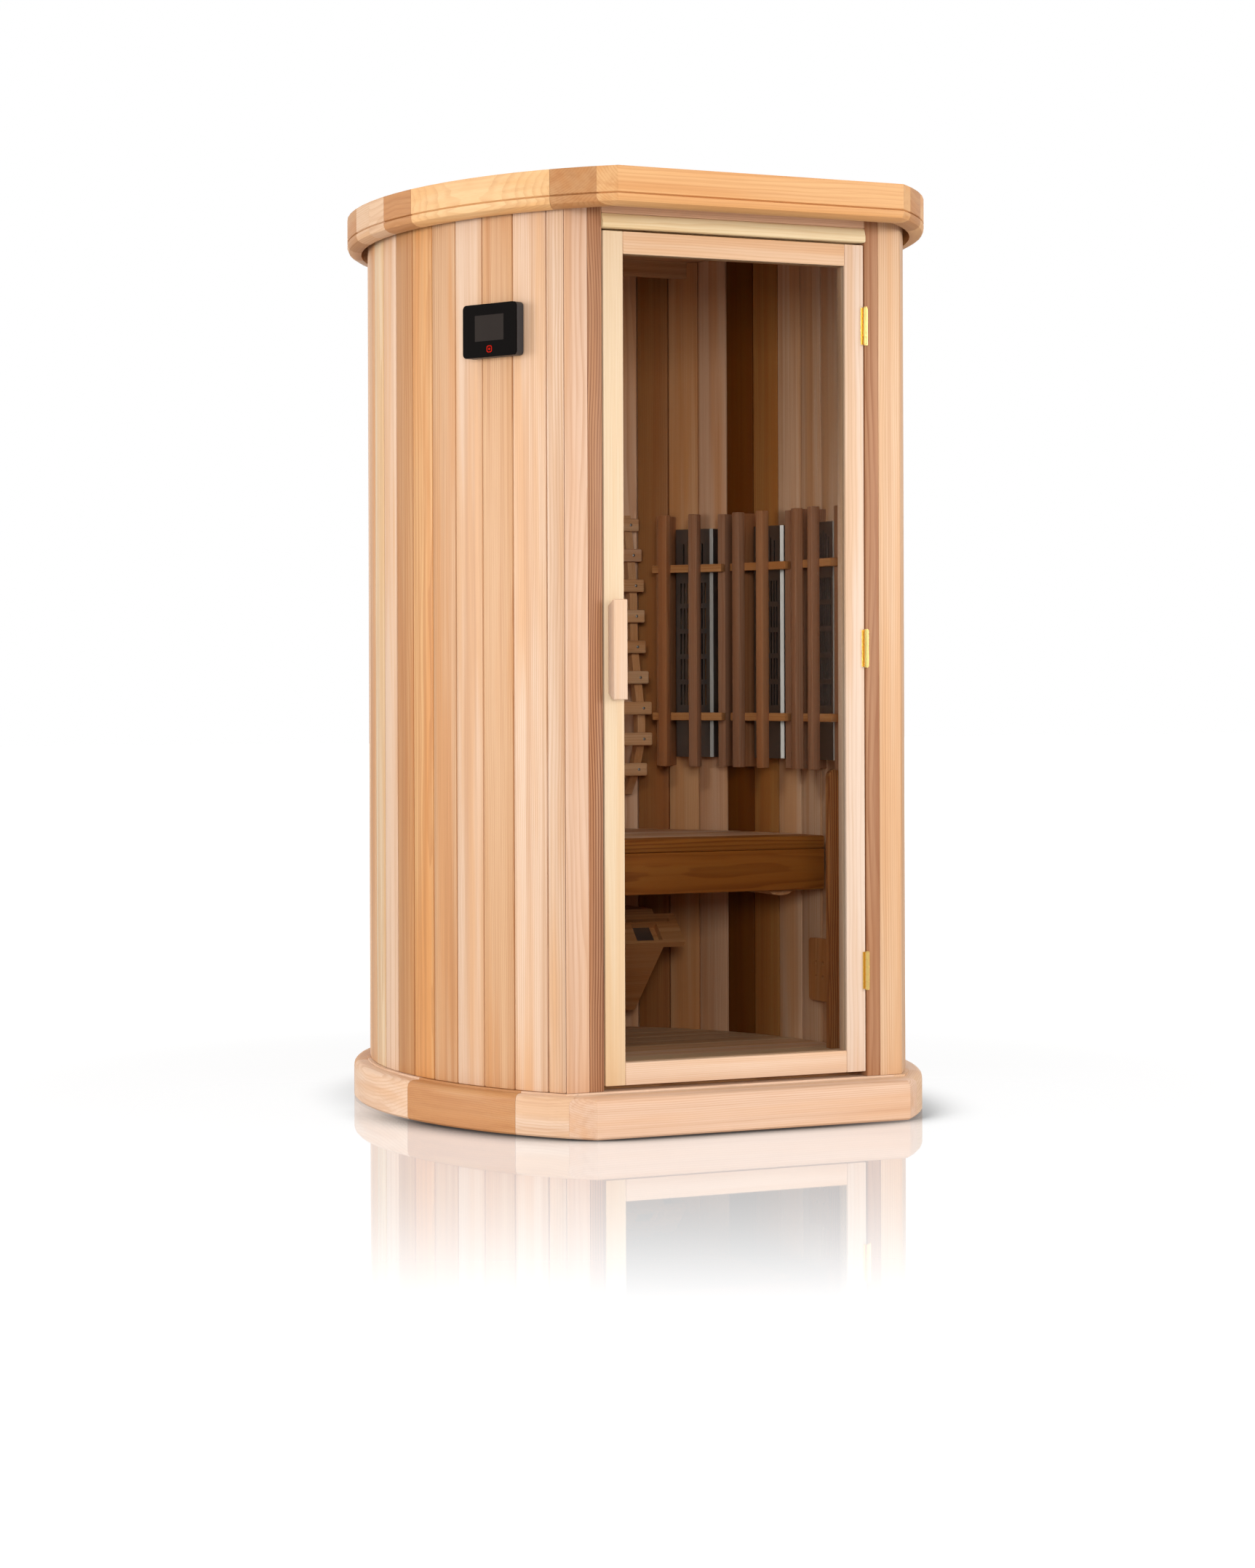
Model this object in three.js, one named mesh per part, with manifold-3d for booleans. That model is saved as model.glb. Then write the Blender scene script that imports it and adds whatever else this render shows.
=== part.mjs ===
// Infrared sauna cabin for one: an oval wall of staves between a base ring and a crown, closed in front
// by a flat wall with a glazed door, and inside a slatted bench, a curved backrest and wall heaters.
// Millimetres, +Z up. The door faces -Y, and the origin lies on the floor under the middle of the crown.
import * as THREE from "three";
import { mergeVertices } from "three/addons/utils/BufferGeometryUtils.js";
import Module from "manifold-3d";

const wasm = await Module();
wasm.setup();

// Clearances
const seat = 0.3; // between a piece that is scribed to its neighbour and that neighbour
const deckClearance = 1.5; // between the floor deck and the wall
const beyond = 5; // how far a cutting shape reaches past the piece that it cuts

// Oval wall of staves, measured on its outer face
const wallHalfWidth = 543.5;
const wallHalfDepth = 711.5;
const staveThickness = 35;
const staveGroove = 3;
const stavesEachSide = 18; // whole staves from the middle of the back to the half stave at the corner
const panelsEachSide = 3;
const ovalSteps = 60;

// Base
const baseHeight = 80;
const baseOverhang = 35;
const baseFrontOverhang = 85.5;
const baseRound = 14;
const baseFootRound = 4;
const baseBoard = 45;
const baseStep = 6; // the raised seat under the wall reaches this far past the wall's face
const baseStepHeight = 3.5;
const deckLedge = 30; // width of the base's ledge under the floor deck
const deckThickness = 18;
const deckRise = 4.5; // of the deck's top above the foot of the wall
const deckBoard = 88;
const deckGroove = 3;
const deckBatten = 45;
const deckBattenSpacing = 260;

// Roof and crown
const roofThickness = 18;
const crownTop = 1910;
const crownHeight = 76;
const crownOverhang = 44;
const crownFrontOverhang = 126.5;
const crownThickness = 30;
const crownLip = 20; // how far the crown's lip reaches in over the roof
const crownLipThickness = 12;
const crownRoundWidth = 25;
const crownRoundHeight = 15;
const crownGroove = 4;
const crownGrooveRise = 23.5; // of the groove above the crown's lower edge
const roundSteps = 3;
const arcSteps = 2;
const glandWidth = 26;
const glandSides = 6;
const glandFromBack = 150;

// Door wall
const frontThickness = 35;
const doorOpeningHalf = 298;
const fillerWidth = 51.4;
const jambWidth = 31.5;
const stopWidth = 13; // how far the door stop laps the door
const stopDepth = 17;
const headerTrimHeight = 30;
const headerTrimProud = 6;
const headerTrimEdge = 2;
const headerTrimFlat = 12;
const sillHeight = 26;
const sillDepth = 32;

// Door
const doorGap = 3;
const doorFootGap = 10;
const doorHeadGap = 4.5;
const stileWidth = 44;
const railHeight = 45;
const glassThickness = 6;
const glassRecess = 9;
const glassBite = 10;
const handleLength = 200;
const handleWidth = 30;
const handleProud = 30;
const handleUndercut = 13;
const handleRound = 4;
const handleHeight = 964;
const handleEdgeInset = 8.5; // from the stile's outer edge to the handle's edge

// Hinges
const hingeHeight = 76;
const hingeLeaf = 1.2;
const hingeLeafDepth = 25;
const knuckleRadius = 4.65;
const knuckleCount = 5;
const knuckleGap = 0.4;
const pinRadius = 2.4;
const pinHead = 1.6;
const hingeArcSteps = 8;
const hingeFromTop = 167.5;
const hingeFromBottom = 208.5;

// Control panel on the left wall
const controlStave = 16.5; // staves from the middle of the back to the panel's middle
const controlWidth = 145;
const controlHeight = 107;
const controlDepth = 22;
const controlCorner = 9;
const controlGlass = 3;
const controlFromTop = 275; // from the top of the wall to the panel's middle

// Bench
const benchFront = 30; // behind the oval's centre
const benchTop = 555;
const benchSlatThickness = 29;
const benchSlatWidth = 88;
const benchSlatGap = 7;
const benchSlats = 6;
const benchEndGap = 19;
const apronThickness = 25;
const apronHeight = 91;
const bearerWidth = 82;
const bearerHeight = 103;
const bearerRound = 34;
const bearerFromMiddle = 391;
const joistWidth = 45;
const joistHeight = 56;
const joistFromMiddle = 170;
const cleatThickness = 40;
const cleatHeight = 60;
const cleatFront = 70;
const cleatBack = 560;

// Backrest
const backrestSlats = 9;
const backrestSlatHeight = 30;
const backrestSlatThickness = 19;
const backrestSlatLength = 548;
const backrestLowest = 140; // the lowest slat's middle above the bench
const backrestPitch = 71.5;
const uprightFromMiddle = 252;
const uprightThickness = 19;
const uprightDepth = 22;
const uprightSteps = 4; // between two points of the curve
const backrestLap = 1; // how deep the slats are let into the uprights
// The uprights' curve: height above the bench, and how far their back stands off the wall
const uprightCurve = [
  [80, 0],
  [145, 48],
  [245, 77],
  [425, 41],
  [575, 31],
  [735, 0],
];

// Wall heaters behind their guards
const heaterFirst = 513; // along the wall from the middle of the back
const heaterSpacing = 250;
const heaterNames = ["rear", "middle", "front"];
const housingWidth = 102;
const housingDepth = 48;
const housingBottom = 725;
const housingTop = 1253;
const housingRound = 10;
const housingSheet = 2;
const elementRadius = 11;
const elementSides = 10;
const slotRows = 5;
const slotColumns = 6;
const slotWidth = 6;
const slotPitch = 13;
const slotHeight = 48;
const slotRowPitch = 59;
const slotsBottom = 845;
const ventSlotColumns = 3;
const ventSlotsBottom = 1172;
const guardBottom = 704;
const guardTop = 1285;
const guardWidth = 188;
const guardPostWidth = 20;
const guardPostDepth = 60;
const guardRailHeight = 18;
const guardRailThickness = 19;
const guardRailLow = 819;
const guardRailHigh = 1161;
const guardSlatWidth = 23;
const guardSlatThickness = 19;
const guardSlatSpacing = 82;
const guardSlatsRearward = 13; // from the guard's middle
const guardLap = 1; // how deep the slats and rails are let into each other

// Leg heater under the bench, in a box whose upper and lower faces slope at 45 degrees
const legNose = 316; // behind the oval's centre
const legNoseHeight = 305;
const legTop = 378;
const legBottom = 137;
const legHalfWidth = 230;
const legSlabHalfWidth = 280;
const legBoard = 16;
const legWindowHalf = 226;
const legWindows = 5;
const legRib = 33;
const legWindowLow = 8; // up the slope from the nose
const legWindowHigh = 60;
const legSlotLow = 64;
const legSlotHigh = 73;
const legSlotHalf = 262;
const legPanelThickness = 10;
const legPanelLap = 2;

// Side board and air inlet on the right wall, and the valance under the ceiling
const sideBoardDepth = 52;
const sideBoardThickness = 19;
const sideBoardFront = -52; // behind the oval's centre
const sideBoardTop = 705;
const sideBoardRound = 18;
const inletWidth = 133;
const inletHeight = 139;
const inletBottom = 183;
const inletThickness = 20;
const inletFront = -25; // behind the oval's centre
const inletRound = 10;
const inletHole = 5;
const inletHoleSpacing = 32;
const inletHoleRows = 2;
const inletHoleColumns = 3;
const inletHoleArcSteps = 4;
const valanceFront = 470; // behind the oval's centre
const valanceThickness = 19;
const valanceHeight = 38;

// Sizes that follow from the driving ones
const wallFoot = baseHeight + baseStepHeight;
const crownBottom = crownTop - crownHeight;
const crownGrooveHeight = crownBottom + crownGrooveRise;
const roofTop = crownTop - crownLipThickness;
const wallTop = roofTop - roofThickness;
const deckTop = wallFoot + deckRise;
const deckBottom = deckTop - deckThickness;
const jambOuter = doorOpeningHalf + jambWidth;
const doorWallHalf = jambOuter + fillerWidth;
// The door wall is as wide as its pieces, and it cuts the oval off where the oval has that width
const doorWallOffset = wallHalfDepth * Math.sqrt(1 - (doorWallHalf / wallHalfWidth) ** 2);
const headerTrimTop = crownBottom;
const headerTrimBottom = headerTrimTop - headerTrimHeight;
const doorTop = headerTrimBottom - doorHeadGap;
const doorBottom = wallFoot + doorFootGap;
const controlMiddle = wallTop - controlFromTop;
const stopInner = doorOpeningHalf - stopWidth;
const frontFace = -doorWallOffset;
const frontBack = frontFace + frontThickness;
const stopFront = frontBack + seat;
const stopBack = stopFront + stopDepth;
const sillBack = stopFront + sillDepth;
const doorHalf = doorOpeningHalf - doorGap;
const stileInner = doorHalf - stileWidth;
const railBottomTop = doorBottom + railHeight;
const railTopBottom = doorTop - railHeight;
const benchUnder = benchTop - benchSlatThickness;
const hingeAxisX = doorOpeningHalf - doorGap / 2;
const hingeAxisY = frontFace - knuckleRadius - seat;

// Finishes
function finish(color, roughness, metalness) {
  return new THREE.MeshStandardMaterial({ color, roughness, metalness });
}

const cedar = {
  wall: finish("#f1c49c", 0.55, 0),
  front: finish("#f8d6b6", 0.55, 0),
  jamb: finish("#c48e58", 0.55, 0),
  door: finish("#fae0c4", 0.5, 0),
  crown: finish("#f5c084", 0.5, 0),
  base: finish("#f5cda8", 0.55, 0),
  floor: finish("#c99a6c", 0.6, 0),
  bench: finish("#c08a55", 0.55, 0),
  guard: finish("#b98558", 0.55, 0),
};
const stainless = finish("#b9bbbc", 0.3, 1);
const brass = finish("#b88a3c", 0.3, 1);
const tintedGlass = finish("#6b4a38", 0.05, 0);
const darkPlastic = finish("#4a4b4d", 0.45, 0);
const blackGlass = finish("#0b0b0d", 0.08, 0);

// Solids
function solidOf(geometry) {
  const bare = geometry.clone();
  bare.deleteAttribute("normal");
  bare.deleteAttribute("uv");
  const merged = mergeVertices(bare, 1e-4);
  const vertProperties = new Float32Array(merged.attributes.position.array);
  const triVerts = new Uint32Array(merged.index.array);
  return new wasm.Manifold(new wasm.Mesh({ numProp: 3, vertProperties, triVerts }));
}

function geometryOf(solid) {
  const mesh = solid.getMesh();
  const geometry = new THREE.BufferGeometry();
  geometry.setAttribute("position", new THREE.BufferAttribute(mesh.vertProperties, 3));
  geometry.setIndex(new THREE.BufferAttribute(mesh.triVerts, 1));
  geometry.computeVertexNormals();
  return geometry;
}

// An outline in plan, raised from one height to another.
function prism(outline, [low, high], curveSegments = arcSteps) {
  const shape = outline instanceof THREE.Shape ? outline : new THREE.Shape(outline);
  const geometry = new THREE.ExtrudeGeometry(shape, { depth: 1, bevelEnabled: false, curveSegments });
  const place = geometry.attributes.position;
  for (let i = 0; i < place.count; i++) place.setZ(i, place.getZ(i) < 0.5 ? low : high);
  return solidOf(geometry);
}

function rectangle([x0, x1], [y0, y1]) {
  return [
    new THREE.Vector2(x0, y0),
    new THREE.Vector2(x1, y0),
    new THREE.Vector2(x1, y1),
    new THREE.Vector2(x0, y1),
  ];
}

function block(xRange, yRange, zRange) {
  return prism(rectangle(xRange, yRange), zRange);
}

// An outline in the YZ plane, drawn out along X.
function alongX(outline, xRange, curveSegments = arcSteps) {
  const turn = new THREE.Matrix4().set(0, 0, 1, 0, 1, 0, 0, 0, 0, 1, 0, 0, 0, 0, 0, 1);
  return prism(outline, xRange, curveSegments).transform(turn.elements);
}

// An outline in the XZ plane, drawn out along Y.
function alongY(outline, [front, back]) {
  const turn = new THREE.Matrix4().set(1, 0, 0, 0, 0, 0, -1, 0, 0, 1, 0, 0, 0, 0, 0, 1);
  return prism(outline, [-back, -front]).transform(turn.elements);
}

function outlineOf(...points) {
  return points.map(([x, y]) => new THREE.Vector2(x, y));
}

function roundedRectangle(width, height, radius) {
  const shape = new THREE.Shape();
  const x = width / 2;
  const y = height / 2;
  shape.moveTo(-x + radius, -y);
  shape.absarc(x - radius, -y + radius, radius, -Math.PI / 2, 0);
  shape.absarc(x - radius, y - radius, radius, 0, Math.PI / 2);
  shape.absarc(-x + radius, y - radius, radius, Math.PI / 2, Math.PI);
  shape.absarc(-x + radius, -y + radius, radius, Math.PI, 1.5 * Math.PI);
  return shape;
}

// A quarter round from a plumb face inwards, as pairs of inset and height.
function quarterRound(width, height, startHeight) {
  const points = [];
  for (let step = 0; step <= roundSteps; step++) {
    const angle = (step / roundSteps) * (Math.PI / 2);
    points.push([width * (1 - Math.cos(angle)), startHeight + height * Math.sin(angle)]);
  }
  return points;
}

function joined(solids) {
  return solids.reduce((whole, piece) => whole.add(piece));
}

function add(group, name, solid, material) {
  const mesh = new THREE.Mesh(geometryOf(solid), material);
  mesh.name = name;
  group.add(mesh);
}

// The oval in plan: an ellipse grown outwards and cut off straight in front.
function ovalCurve(grow, frontGrow) {
  const halfDepth = wallHalfDepth + grow;
  const dip = Math.asin((doorWallOffset + frontGrow) / halfDepth);
  return new THREE.EllipseCurve(0, 0, wallHalfWidth + grow, halfDepth, -dip, Math.PI + dip);
}

function ovalOutline(grow, frontGrow) {
  return ovalCurve(grow, frontGrow).getPoints(ovalSteps);
}

function ovalPrism(grow, frontGrow, zRange) {
  return prism(ovalOutline(grow, frontGrow), zRange);
}

// A moulded oval board: its profile is a list of insets and heights, from the bottom up.
function ovalLoft(grow, frontGrow, profile) {
  const rings = profile.map(([inset]) => ovalOutline(grow - inset, frontGrow - inset));
  const count = rings[0].length;
  const positions = rings.flatMap((ring, r) => ring.flatMap((p) => [p.x, p.y, profile[r][1]]));
  const index = [];
  for (let r = 0; r + 1 < rings.length; r++) {
    for (let i = 0; i < count; i++) {
      const a = r * count + i;
      const b = r * count + ((i + 1) % count);
      index.push(a, b, b + count, a, b + count, a + count);
    }
  }
  const top = (rings.length - 1) * count;
  for (const [a, b, c] of THREE.ShapeUtils.triangulateShape(rings[0], [])) index.push(a, c, b);
  for (const [a, b, c] of THREE.ShapeUtils.triangulateShape(rings.at(-1), [])) {
    index.push(top + a, top + b, top + c);
  }
  const geometry = new THREE.BufferGeometry();
  geometry.setAttribute("position", new THREE.Float32BufferAttribute(positions, 3));
  geometry.setIndex(index);
  return solidOf(geometry);
}

// Places on the wall, by the distance along its outer face from the middle of the back
const wallLine = ovalCurve(0, 0);
wallLine.arcLengthDivisions = 2000;
const halfWall = wallLine.getLength() / 2;
const stavePitch = halfWall / (stavesEachSide + 0.5);

function wallPlace(distance) {
  const share = 0.5 - distance / (2 * halfWall);
  const point = wallLine.getPointAt(share);
  const along = wallLine.getTangentAt(share);
  const inward = new THREE.Vector2(-along.y, along.x);
  return { point, inward };
}

function staveEdge(edge, depth) {
  const { point, inward } = wallPlace(edge * stavePitch);
  return point.addScaledVector(inward, depth);
}

// The plane of the door wall at the same share of its thickness as a depth behind the staves' face.
function frontPlane(depth) {
  return frontFace + (frontThickness * depth) / staveThickness;
}

// Where the last half stave meets the door wall, at a depth behind its outer face.
function staveCorner(depth) {
  const edge = staveEdge(stavesEachSide, depth);
  const along = wallLine.getPoint(0).sub(staveEdge(stavesEachSide, 0));
  return edge.addScaledVector(along, (frontPlane(depth) - edge.y) / along.y);
}

// One face of a run of staves, with a vee groove at each joint.
function staveFace(first, last, depth, grooveDepth) {
  const points = [];
  for (let edge = first; edge < last; edge++) {
    const atCorner = edge === stavesEachSide;
    const start = staveEdge(edge, depth);
    const end = atCorner ? staveCorner(depth) : staveEdge(edge + 1, depth);
    const along = end.clone().sub(start).normalize();
    const joint = staveEdge(edge, grooveDepth);
    points.push(edge === first ? joint.addScaledVector(along, seat / 2) : joint);
    points.push(start.addScaledVector(along, staveGroove));
    points.push(atCorner ? end : end.addScaledVector(along, -staveGroove));
    const lastOne = edge + 1 >= last && !atCorner;
    if (lastOne) points.push(staveEdge(last, grooveDepth).addScaledVector(along, -seat / 2));
  }
  return points;
}

function mirrored(points, side) {
  return points.map((p) => new THREE.Vector2(p.x * side, p.y));
}

function wallPanel(first, last, side) {
  const outer = staveFace(first, last, 0, staveGroove);
  const inner = staveFace(first, last, staveThickness, staveThickness - staveGroove);
  return prism(mirrored(outer.concat(inner.reverse()), side), [wallFoot, wallTop]);
}

// The room inside the staves, drawn in by a gap.
function interior(gap, zRange) {
  const depth = staveThickness + gap;
  const right = [];
  for (let edge = 0; edge <= stavesEachSide; edge++) {
    const point = staveEdge(edge, depth);
    if (point.y > frontPlane(depth)) right.push(point);
  }
  const cornerInside = right.length > stavesEachSide;
  const frontCorner = new THREE.Vector2(right.at(-1).x, frontPlane(depth));
  right.push(cornerInside ? staveCorner(depth) : frontCorner);
  const left = mirrored(right.slice(1), -1).reverse();
  return prism(left.concat(right), zRange);
}

const wholeHeight = [0, wallTop];
const roomToWall = interior(seat, wholeHeight);

// A group standing on the wall's inner face, X along the wall and Y into the room.
function innerPlace(distance) {
  const { point, inward } = wallPlace(distance);
  const place = new THREE.Group();
  point.addScaledVector(inward, staveThickness);
  place.position.set(point.x, point.y, 0);
  place.rotation.z = Math.atan2(-inward.x, inward.y);
  place.updateMatrix();
  return place;
}

function scribedTo(room, place) {
  return room.transform(place.matrix.clone().invert().elements);
}

const cabin = new THREE.Group();
const door = new THREE.Group();
const sides = { left: -1, right: 1 };

// Base ring, its straight front board and the floor deck on its ledge
function baseBody() {
  const profile = [
    [baseFootRound, 0],
    [0, baseFootRound],
    ...quarterRound(baseRound, baseRound, baseHeight - baseRound),
  ];
  return ovalLoft(baseOverhang, baseFrontOverhang, profile);
}

function deckRoom(gap, zRange) {
  const behindSill = block([-wallHalfWidth, wallHalfWidth], [sillBack + gap, wallHalfDepth], zRange);
  return interior(gap, zRange).intersect(behindSill);
}

function buildBase() {
  const body = baseBody();
  const width = [-wallHalfWidth - baseOverhang - beyond, wallHalfWidth + baseOverhang + beyond];
  const front = frontFace - baseFrontOverhang;
  const boardBack = front + baseBoard;
  const height = [-beyond, baseHeight + beyond];
  const board = body.intersect(block(width, [front - beyond, boardBack], height));
  const step = ovalPrism(baseStep, baseStep, [baseHeight - beyond, wallFoot]);
  const ring = body
    .subtract(block(width, [front - beyond, boardBack + seat], height))
    .add(step)
    .subtract(deckRoom(deckClearance / 2, [deckBottom, wallFoot + beyond]))
    .subtract(deckRoom(deckLedge, [-beyond, deckBottom + beyond]));
  add(cabin, "base_front_board", board, cedar.base);
  add(cabin, "base_ring", ring, cedar.base);
}

function buildDeck() {
  let deck = deckRoom(deckClearance, [deckBottom, deckTop]);
  const groove = [deckTop - deckGroove, deckTop + beyond];
  for (let y = sillBack + deckBoard; y < wallHalfDepth - staveThickness - deckBoard; y += deckBoard) {
    const width = [-wallHalfWidth, wallHalfWidth];
    deck = deck.subtract(block(width, [y - deckGroove / 2, y + deckGroove / 2], groove));
  }
  const underDeck = deckRoom(deckLedge + deckClearance, [0, deckBottom + deckGroove]);
  const battens = [-1, 0, 1].map((place) => {
    const middle = place * deckBattenSpacing;
    const width = [middle - deckBatten / 2, middle + deckBatten / 2];
    return underDeck.intersect(block(width, [sillBack, wallHalfDepth], [0, deckBottom + deckGroove]));
  });
  add(cabin, "floor_deck", joined([deck, ...battens]), cedar.floor);
}

// Stave panels
function buildWall() {
  const names = ["rear", "side", "front"];
  const perPanel = stavesEachSide / panelsEachSide;
  for (const [sideName, side] of Object.entries(sides)) {
    for (let panel = 0; panel < panelsEachSide; panel++) {
      const first = panel * perPanel;
      const last = panel + 1 === panelsEachSide ? stavesEachSide + 0.5 : first + perPanel;
      add(cabin, `wall_panel_${sideName}_${names[panel]}`, wallPanel(first, last, side), cedar.wall);
    }
  }
}

// Door wall: filler boards, rebated jambs, header and sill
function buildDoorWall() {
  const height = [wallFoot, wallTop];
  const outerCorner = staveCorner(0);
  const innerCorner = staveCorner(staveThickness);
  for (const [sideName, side] of Object.entries(sides)) {
    const filler = outlineOf(
      [jambOuter, frontFace],
      [outerCorner.x - seat, frontFace],
      [innerCorner.x - seat, frontBack],
      [jambOuter, frontBack],
    );
    const jamb = outlineOf(
      [doorOpeningHalf, frontFace],
      [jambOuter, frontFace],
      [jambOuter, stopBack],
      [stopInner, stopBack],
      [stopInner, stopFront],
      [doorOpeningHalf, stopFront],
    );
    add(cabin, `front_filler_${sideName}`, prism(mirrored(filler, side), height), cedar.front);
    add(cabin, `door_jamb_${sideName}`, prism(mirrored(jamb, side), height), cedar.jamb);
  }
  const opening = [-doorOpeningHalf, doorOpeningHalf];
  const betweenStops = [-stopInner, stopInner];
  const board = block(opening, [frontFace, frontBack], [headerTrimTop, wallTop]);
  const nosing = outlineOf(
    [stopFront, headerTrimBottom],
    [frontFace, headerTrimBottom],
    [frontFace - headerTrimProud, headerTrimBottom + headerTrimEdge],
    [frontFace - headerTrimProud, headerTrimBottom + headerTrimEdge + headerTrimFlat],
    [frontFace, headerTrimTop],
    [stopFront, headerTrimTop],
  );
  const stop = outlineOf(
    [stopFront, doorTop - stopWidth],
    [stopFront, headerTrimBottom],
    [frontBack - stopDepth, headerTrimBottom],
    [frontBack - stopDepth, headerTrimTop],
    [stopBack, headerTrimTop],
    [stopBack, doorTop - stopWidth],
  );
  const sill = outlineOf(
    [stopFront, wallFoot],
    [sillBack, wallFoot],
    [sillBack, deckTop],
    [stopBack, wallFoot + sillHeight],
    [stopFront, wallFoot + sillHeight],
  );
  add(cabin, "header_board", board, cedar.front);
  add(cabin, "header_trim", alongX(nosing, opening).add(alongX(stop, betweenStops)), cedar.door);
  add(cabin, "door_sill", alongX(sill, betweenStops), cedar.jamb);
}

// Roof, and the crown round it whose lip lies on the roof
function buildRoof() {
  const inner = crownOverhang - crownThickness;
  const innerFront = crownFrontOverhang - crownThickness;
  add(cabin, "roof_panel", ovalPrism(inner - seat, innerFront - seat, [wallTop, roofTop]), cedar.crown);
  const round = quarterRound(crownRoundWidth, crownRoundHeight, 0).reverse();
  const profile = [
    ...round.map(([inset, rise]) => [inset, crownBottom + crownRoundHeight - rise]),
    [0, crownGrooveHeight - crownGroove / 2],
    [crownGroove, crownGrooveHeight],
    [0, crownGrooveHeight + crownGroove / 2],
    [0, crownTop],
  ];
  const body = ovalLoft(crownOverhang, crownFrontOverhang, profile);
  const front = frontFace - crownFrontOverhang;
  const boardBack = front + crownThickness;
  const width = [-wallHalfWidth - crownOverhang - beyond, wallHalfWidth + crownOverhang + beyond];
  const height = [crownBottom - beyond, crownTop + beyond];
  const board = body.intersect(block(width, [front - beyond, boardBack], height));
  const ring = body
    .subtract(block(width, [front - beyond, boardBack + seat], height))
    .subtract(ovalPrism(inner, innerFront, [crownBottom - beyond, roofTop]))
    .subtract(ovalPrism(inner - crownLip, innerFront - crownLip, [roofTop - beyond, crownTop + beyond]));
  add(cabin, "crown_front_board", board, cedar.crown);
  add(cabin, "crown_ring", ring, cedar.crown);
  const gland = new THREE.CylinderGeometry(glandWidth / 2, glandWidth / 2, crownTop - roofTop, glandSides);
  gland.rotateX(Math.PI / 2);
  gland.translate(0, wallHalfDepth - glandFromBack, (roofTop + crownTop) / 2);
  add(cabin, "cable_gland", solidOf(gland), darkPlastic);
  const across = [-wallHalfWidth, wallHalfWidth];
  const valanceDepth = [valanceFront, valanceFront + valanceThickness];
  const valance = block(across, valanceDepth, [wallTop - valanceHeight, wallTop]);
  add(cabin, "ceiling_valance", valance.intersect(roomToWall), cedar.bench);
}

// Door: stiles and rails grooved for the glass, and the handle
function buildDoor() {
  const depth = [frontFace, frontBack];
  const glassFront = frontFace + glassRecess;
  const glass = [glassFront, glassFront + glassThickness];
  const groove = [glass[0] - seat, glass[1] + seat];
  const grooveHalf = stileInner + glassBite;
  const grooveLow = railBottomTop - glassBite;
  const grooveHigh = railTopBottom + glassBite;
  const rebate = block([-grooveHalf, grooveHalf], groove, [grooveLow, grooveHigh]);
  for (const [name, side] of [["handle", -1], ["hinge", 1]]) {
    const stile = mirrored(rectangle([stileInner, doorHalf], depth), side);
    add(door, `door_stile_${name}`, prism(stile, [doorBottom, doorTop]).subtract(rebate), cedar.door);
  }
  const between = [-stileInner, stileInner];
  const lowRail = block(between, depth, [doorBottom, railBottomTop]);
  const highRail = block(between, depth, [railTopBottom, doorTop]);
  add(door, "door_rail_bottom", lowRail.subtract(rebate), cedar.door);
  add(door, "door_rail_top", highRail.subtract(rebate), cedar.door);
  const pane = [-grooveHalf + seat, grooveHalf - seat];
  add(door, "door_glass", block(pane, glass, [grooveLow + seat, grooveHigh - seat]), tintedGlass);
  buildHandle();
}

function buildHandle() {
  const low = handleHeight - handleLength / 2;
  const high = handleHeight + handleLength / 2;
  const out = frontFace - handleProud;
  const side = new THREE.Shape();
  side.moveTo(frontFace, low + handleUndercut);
  side.lineTo(frontFace, high - handleUndercut);
  side.lineTo(out + handleRound, high);
  side.quadraticCurveTo(out, high, out, high - handleRound);
  side.lineTo(out, low + handleRound);
  side.quadraticCurveTo(out, low, out + handleRound, low);
  const left = -doorHalf + handleEdgeInset;
  const body = alongX(side, [left, left + handleWidth]);
  // The grip's long edges are eased all round
  const section = roundedRectangle(handleWidth, 2 * handleProud, handleRound);
  const eased = prism(section, [low - beyond, high + beyond]).translate([
    left + handleWidth / 2,
    frontFace,
    0,
  ]);
  add(door, "door_handle", body.intersect(eased), cedar.door);
}

// Butt hinges: two leaves with interlocking knuckles on one pin
function ring(radius, zRange) {
  const circle = new THREE.Shape();
  circle.absarc(hingeAxisX, hingeAxisY, radius, 0, 2 * Math.PI);
  return prism(circle, zRange, hingeArcSteps);
}

function hingeLeafBody(xRange, middle, first) {
  const low = middle - hingeHeight / 2;
  const pitch = hingeHeight / knuckleCount;
  const pieces = [block(xRange, [frontFace, frontFace + hingeLeafDepth], [low, low + hingeHeight])];
  for (let knuckle = first; knuckle < knuckleCount; knuckle += 2) {
    const inset = knuckleGap / 2;
    const height = [low + knuckle * pitch + inset, low + (knuckle + 1) * pitch - inset];
    pieces.push(block(xRange, [hingeAxisY, frontFace + seat], height), ring(knuckleRadius, height));
  }
  const bore = ring(pinRadius + seat, [low - beyond, low + hingeHeight + beyond]);
  return joined(pieces).subtract(bore);
}

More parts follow.
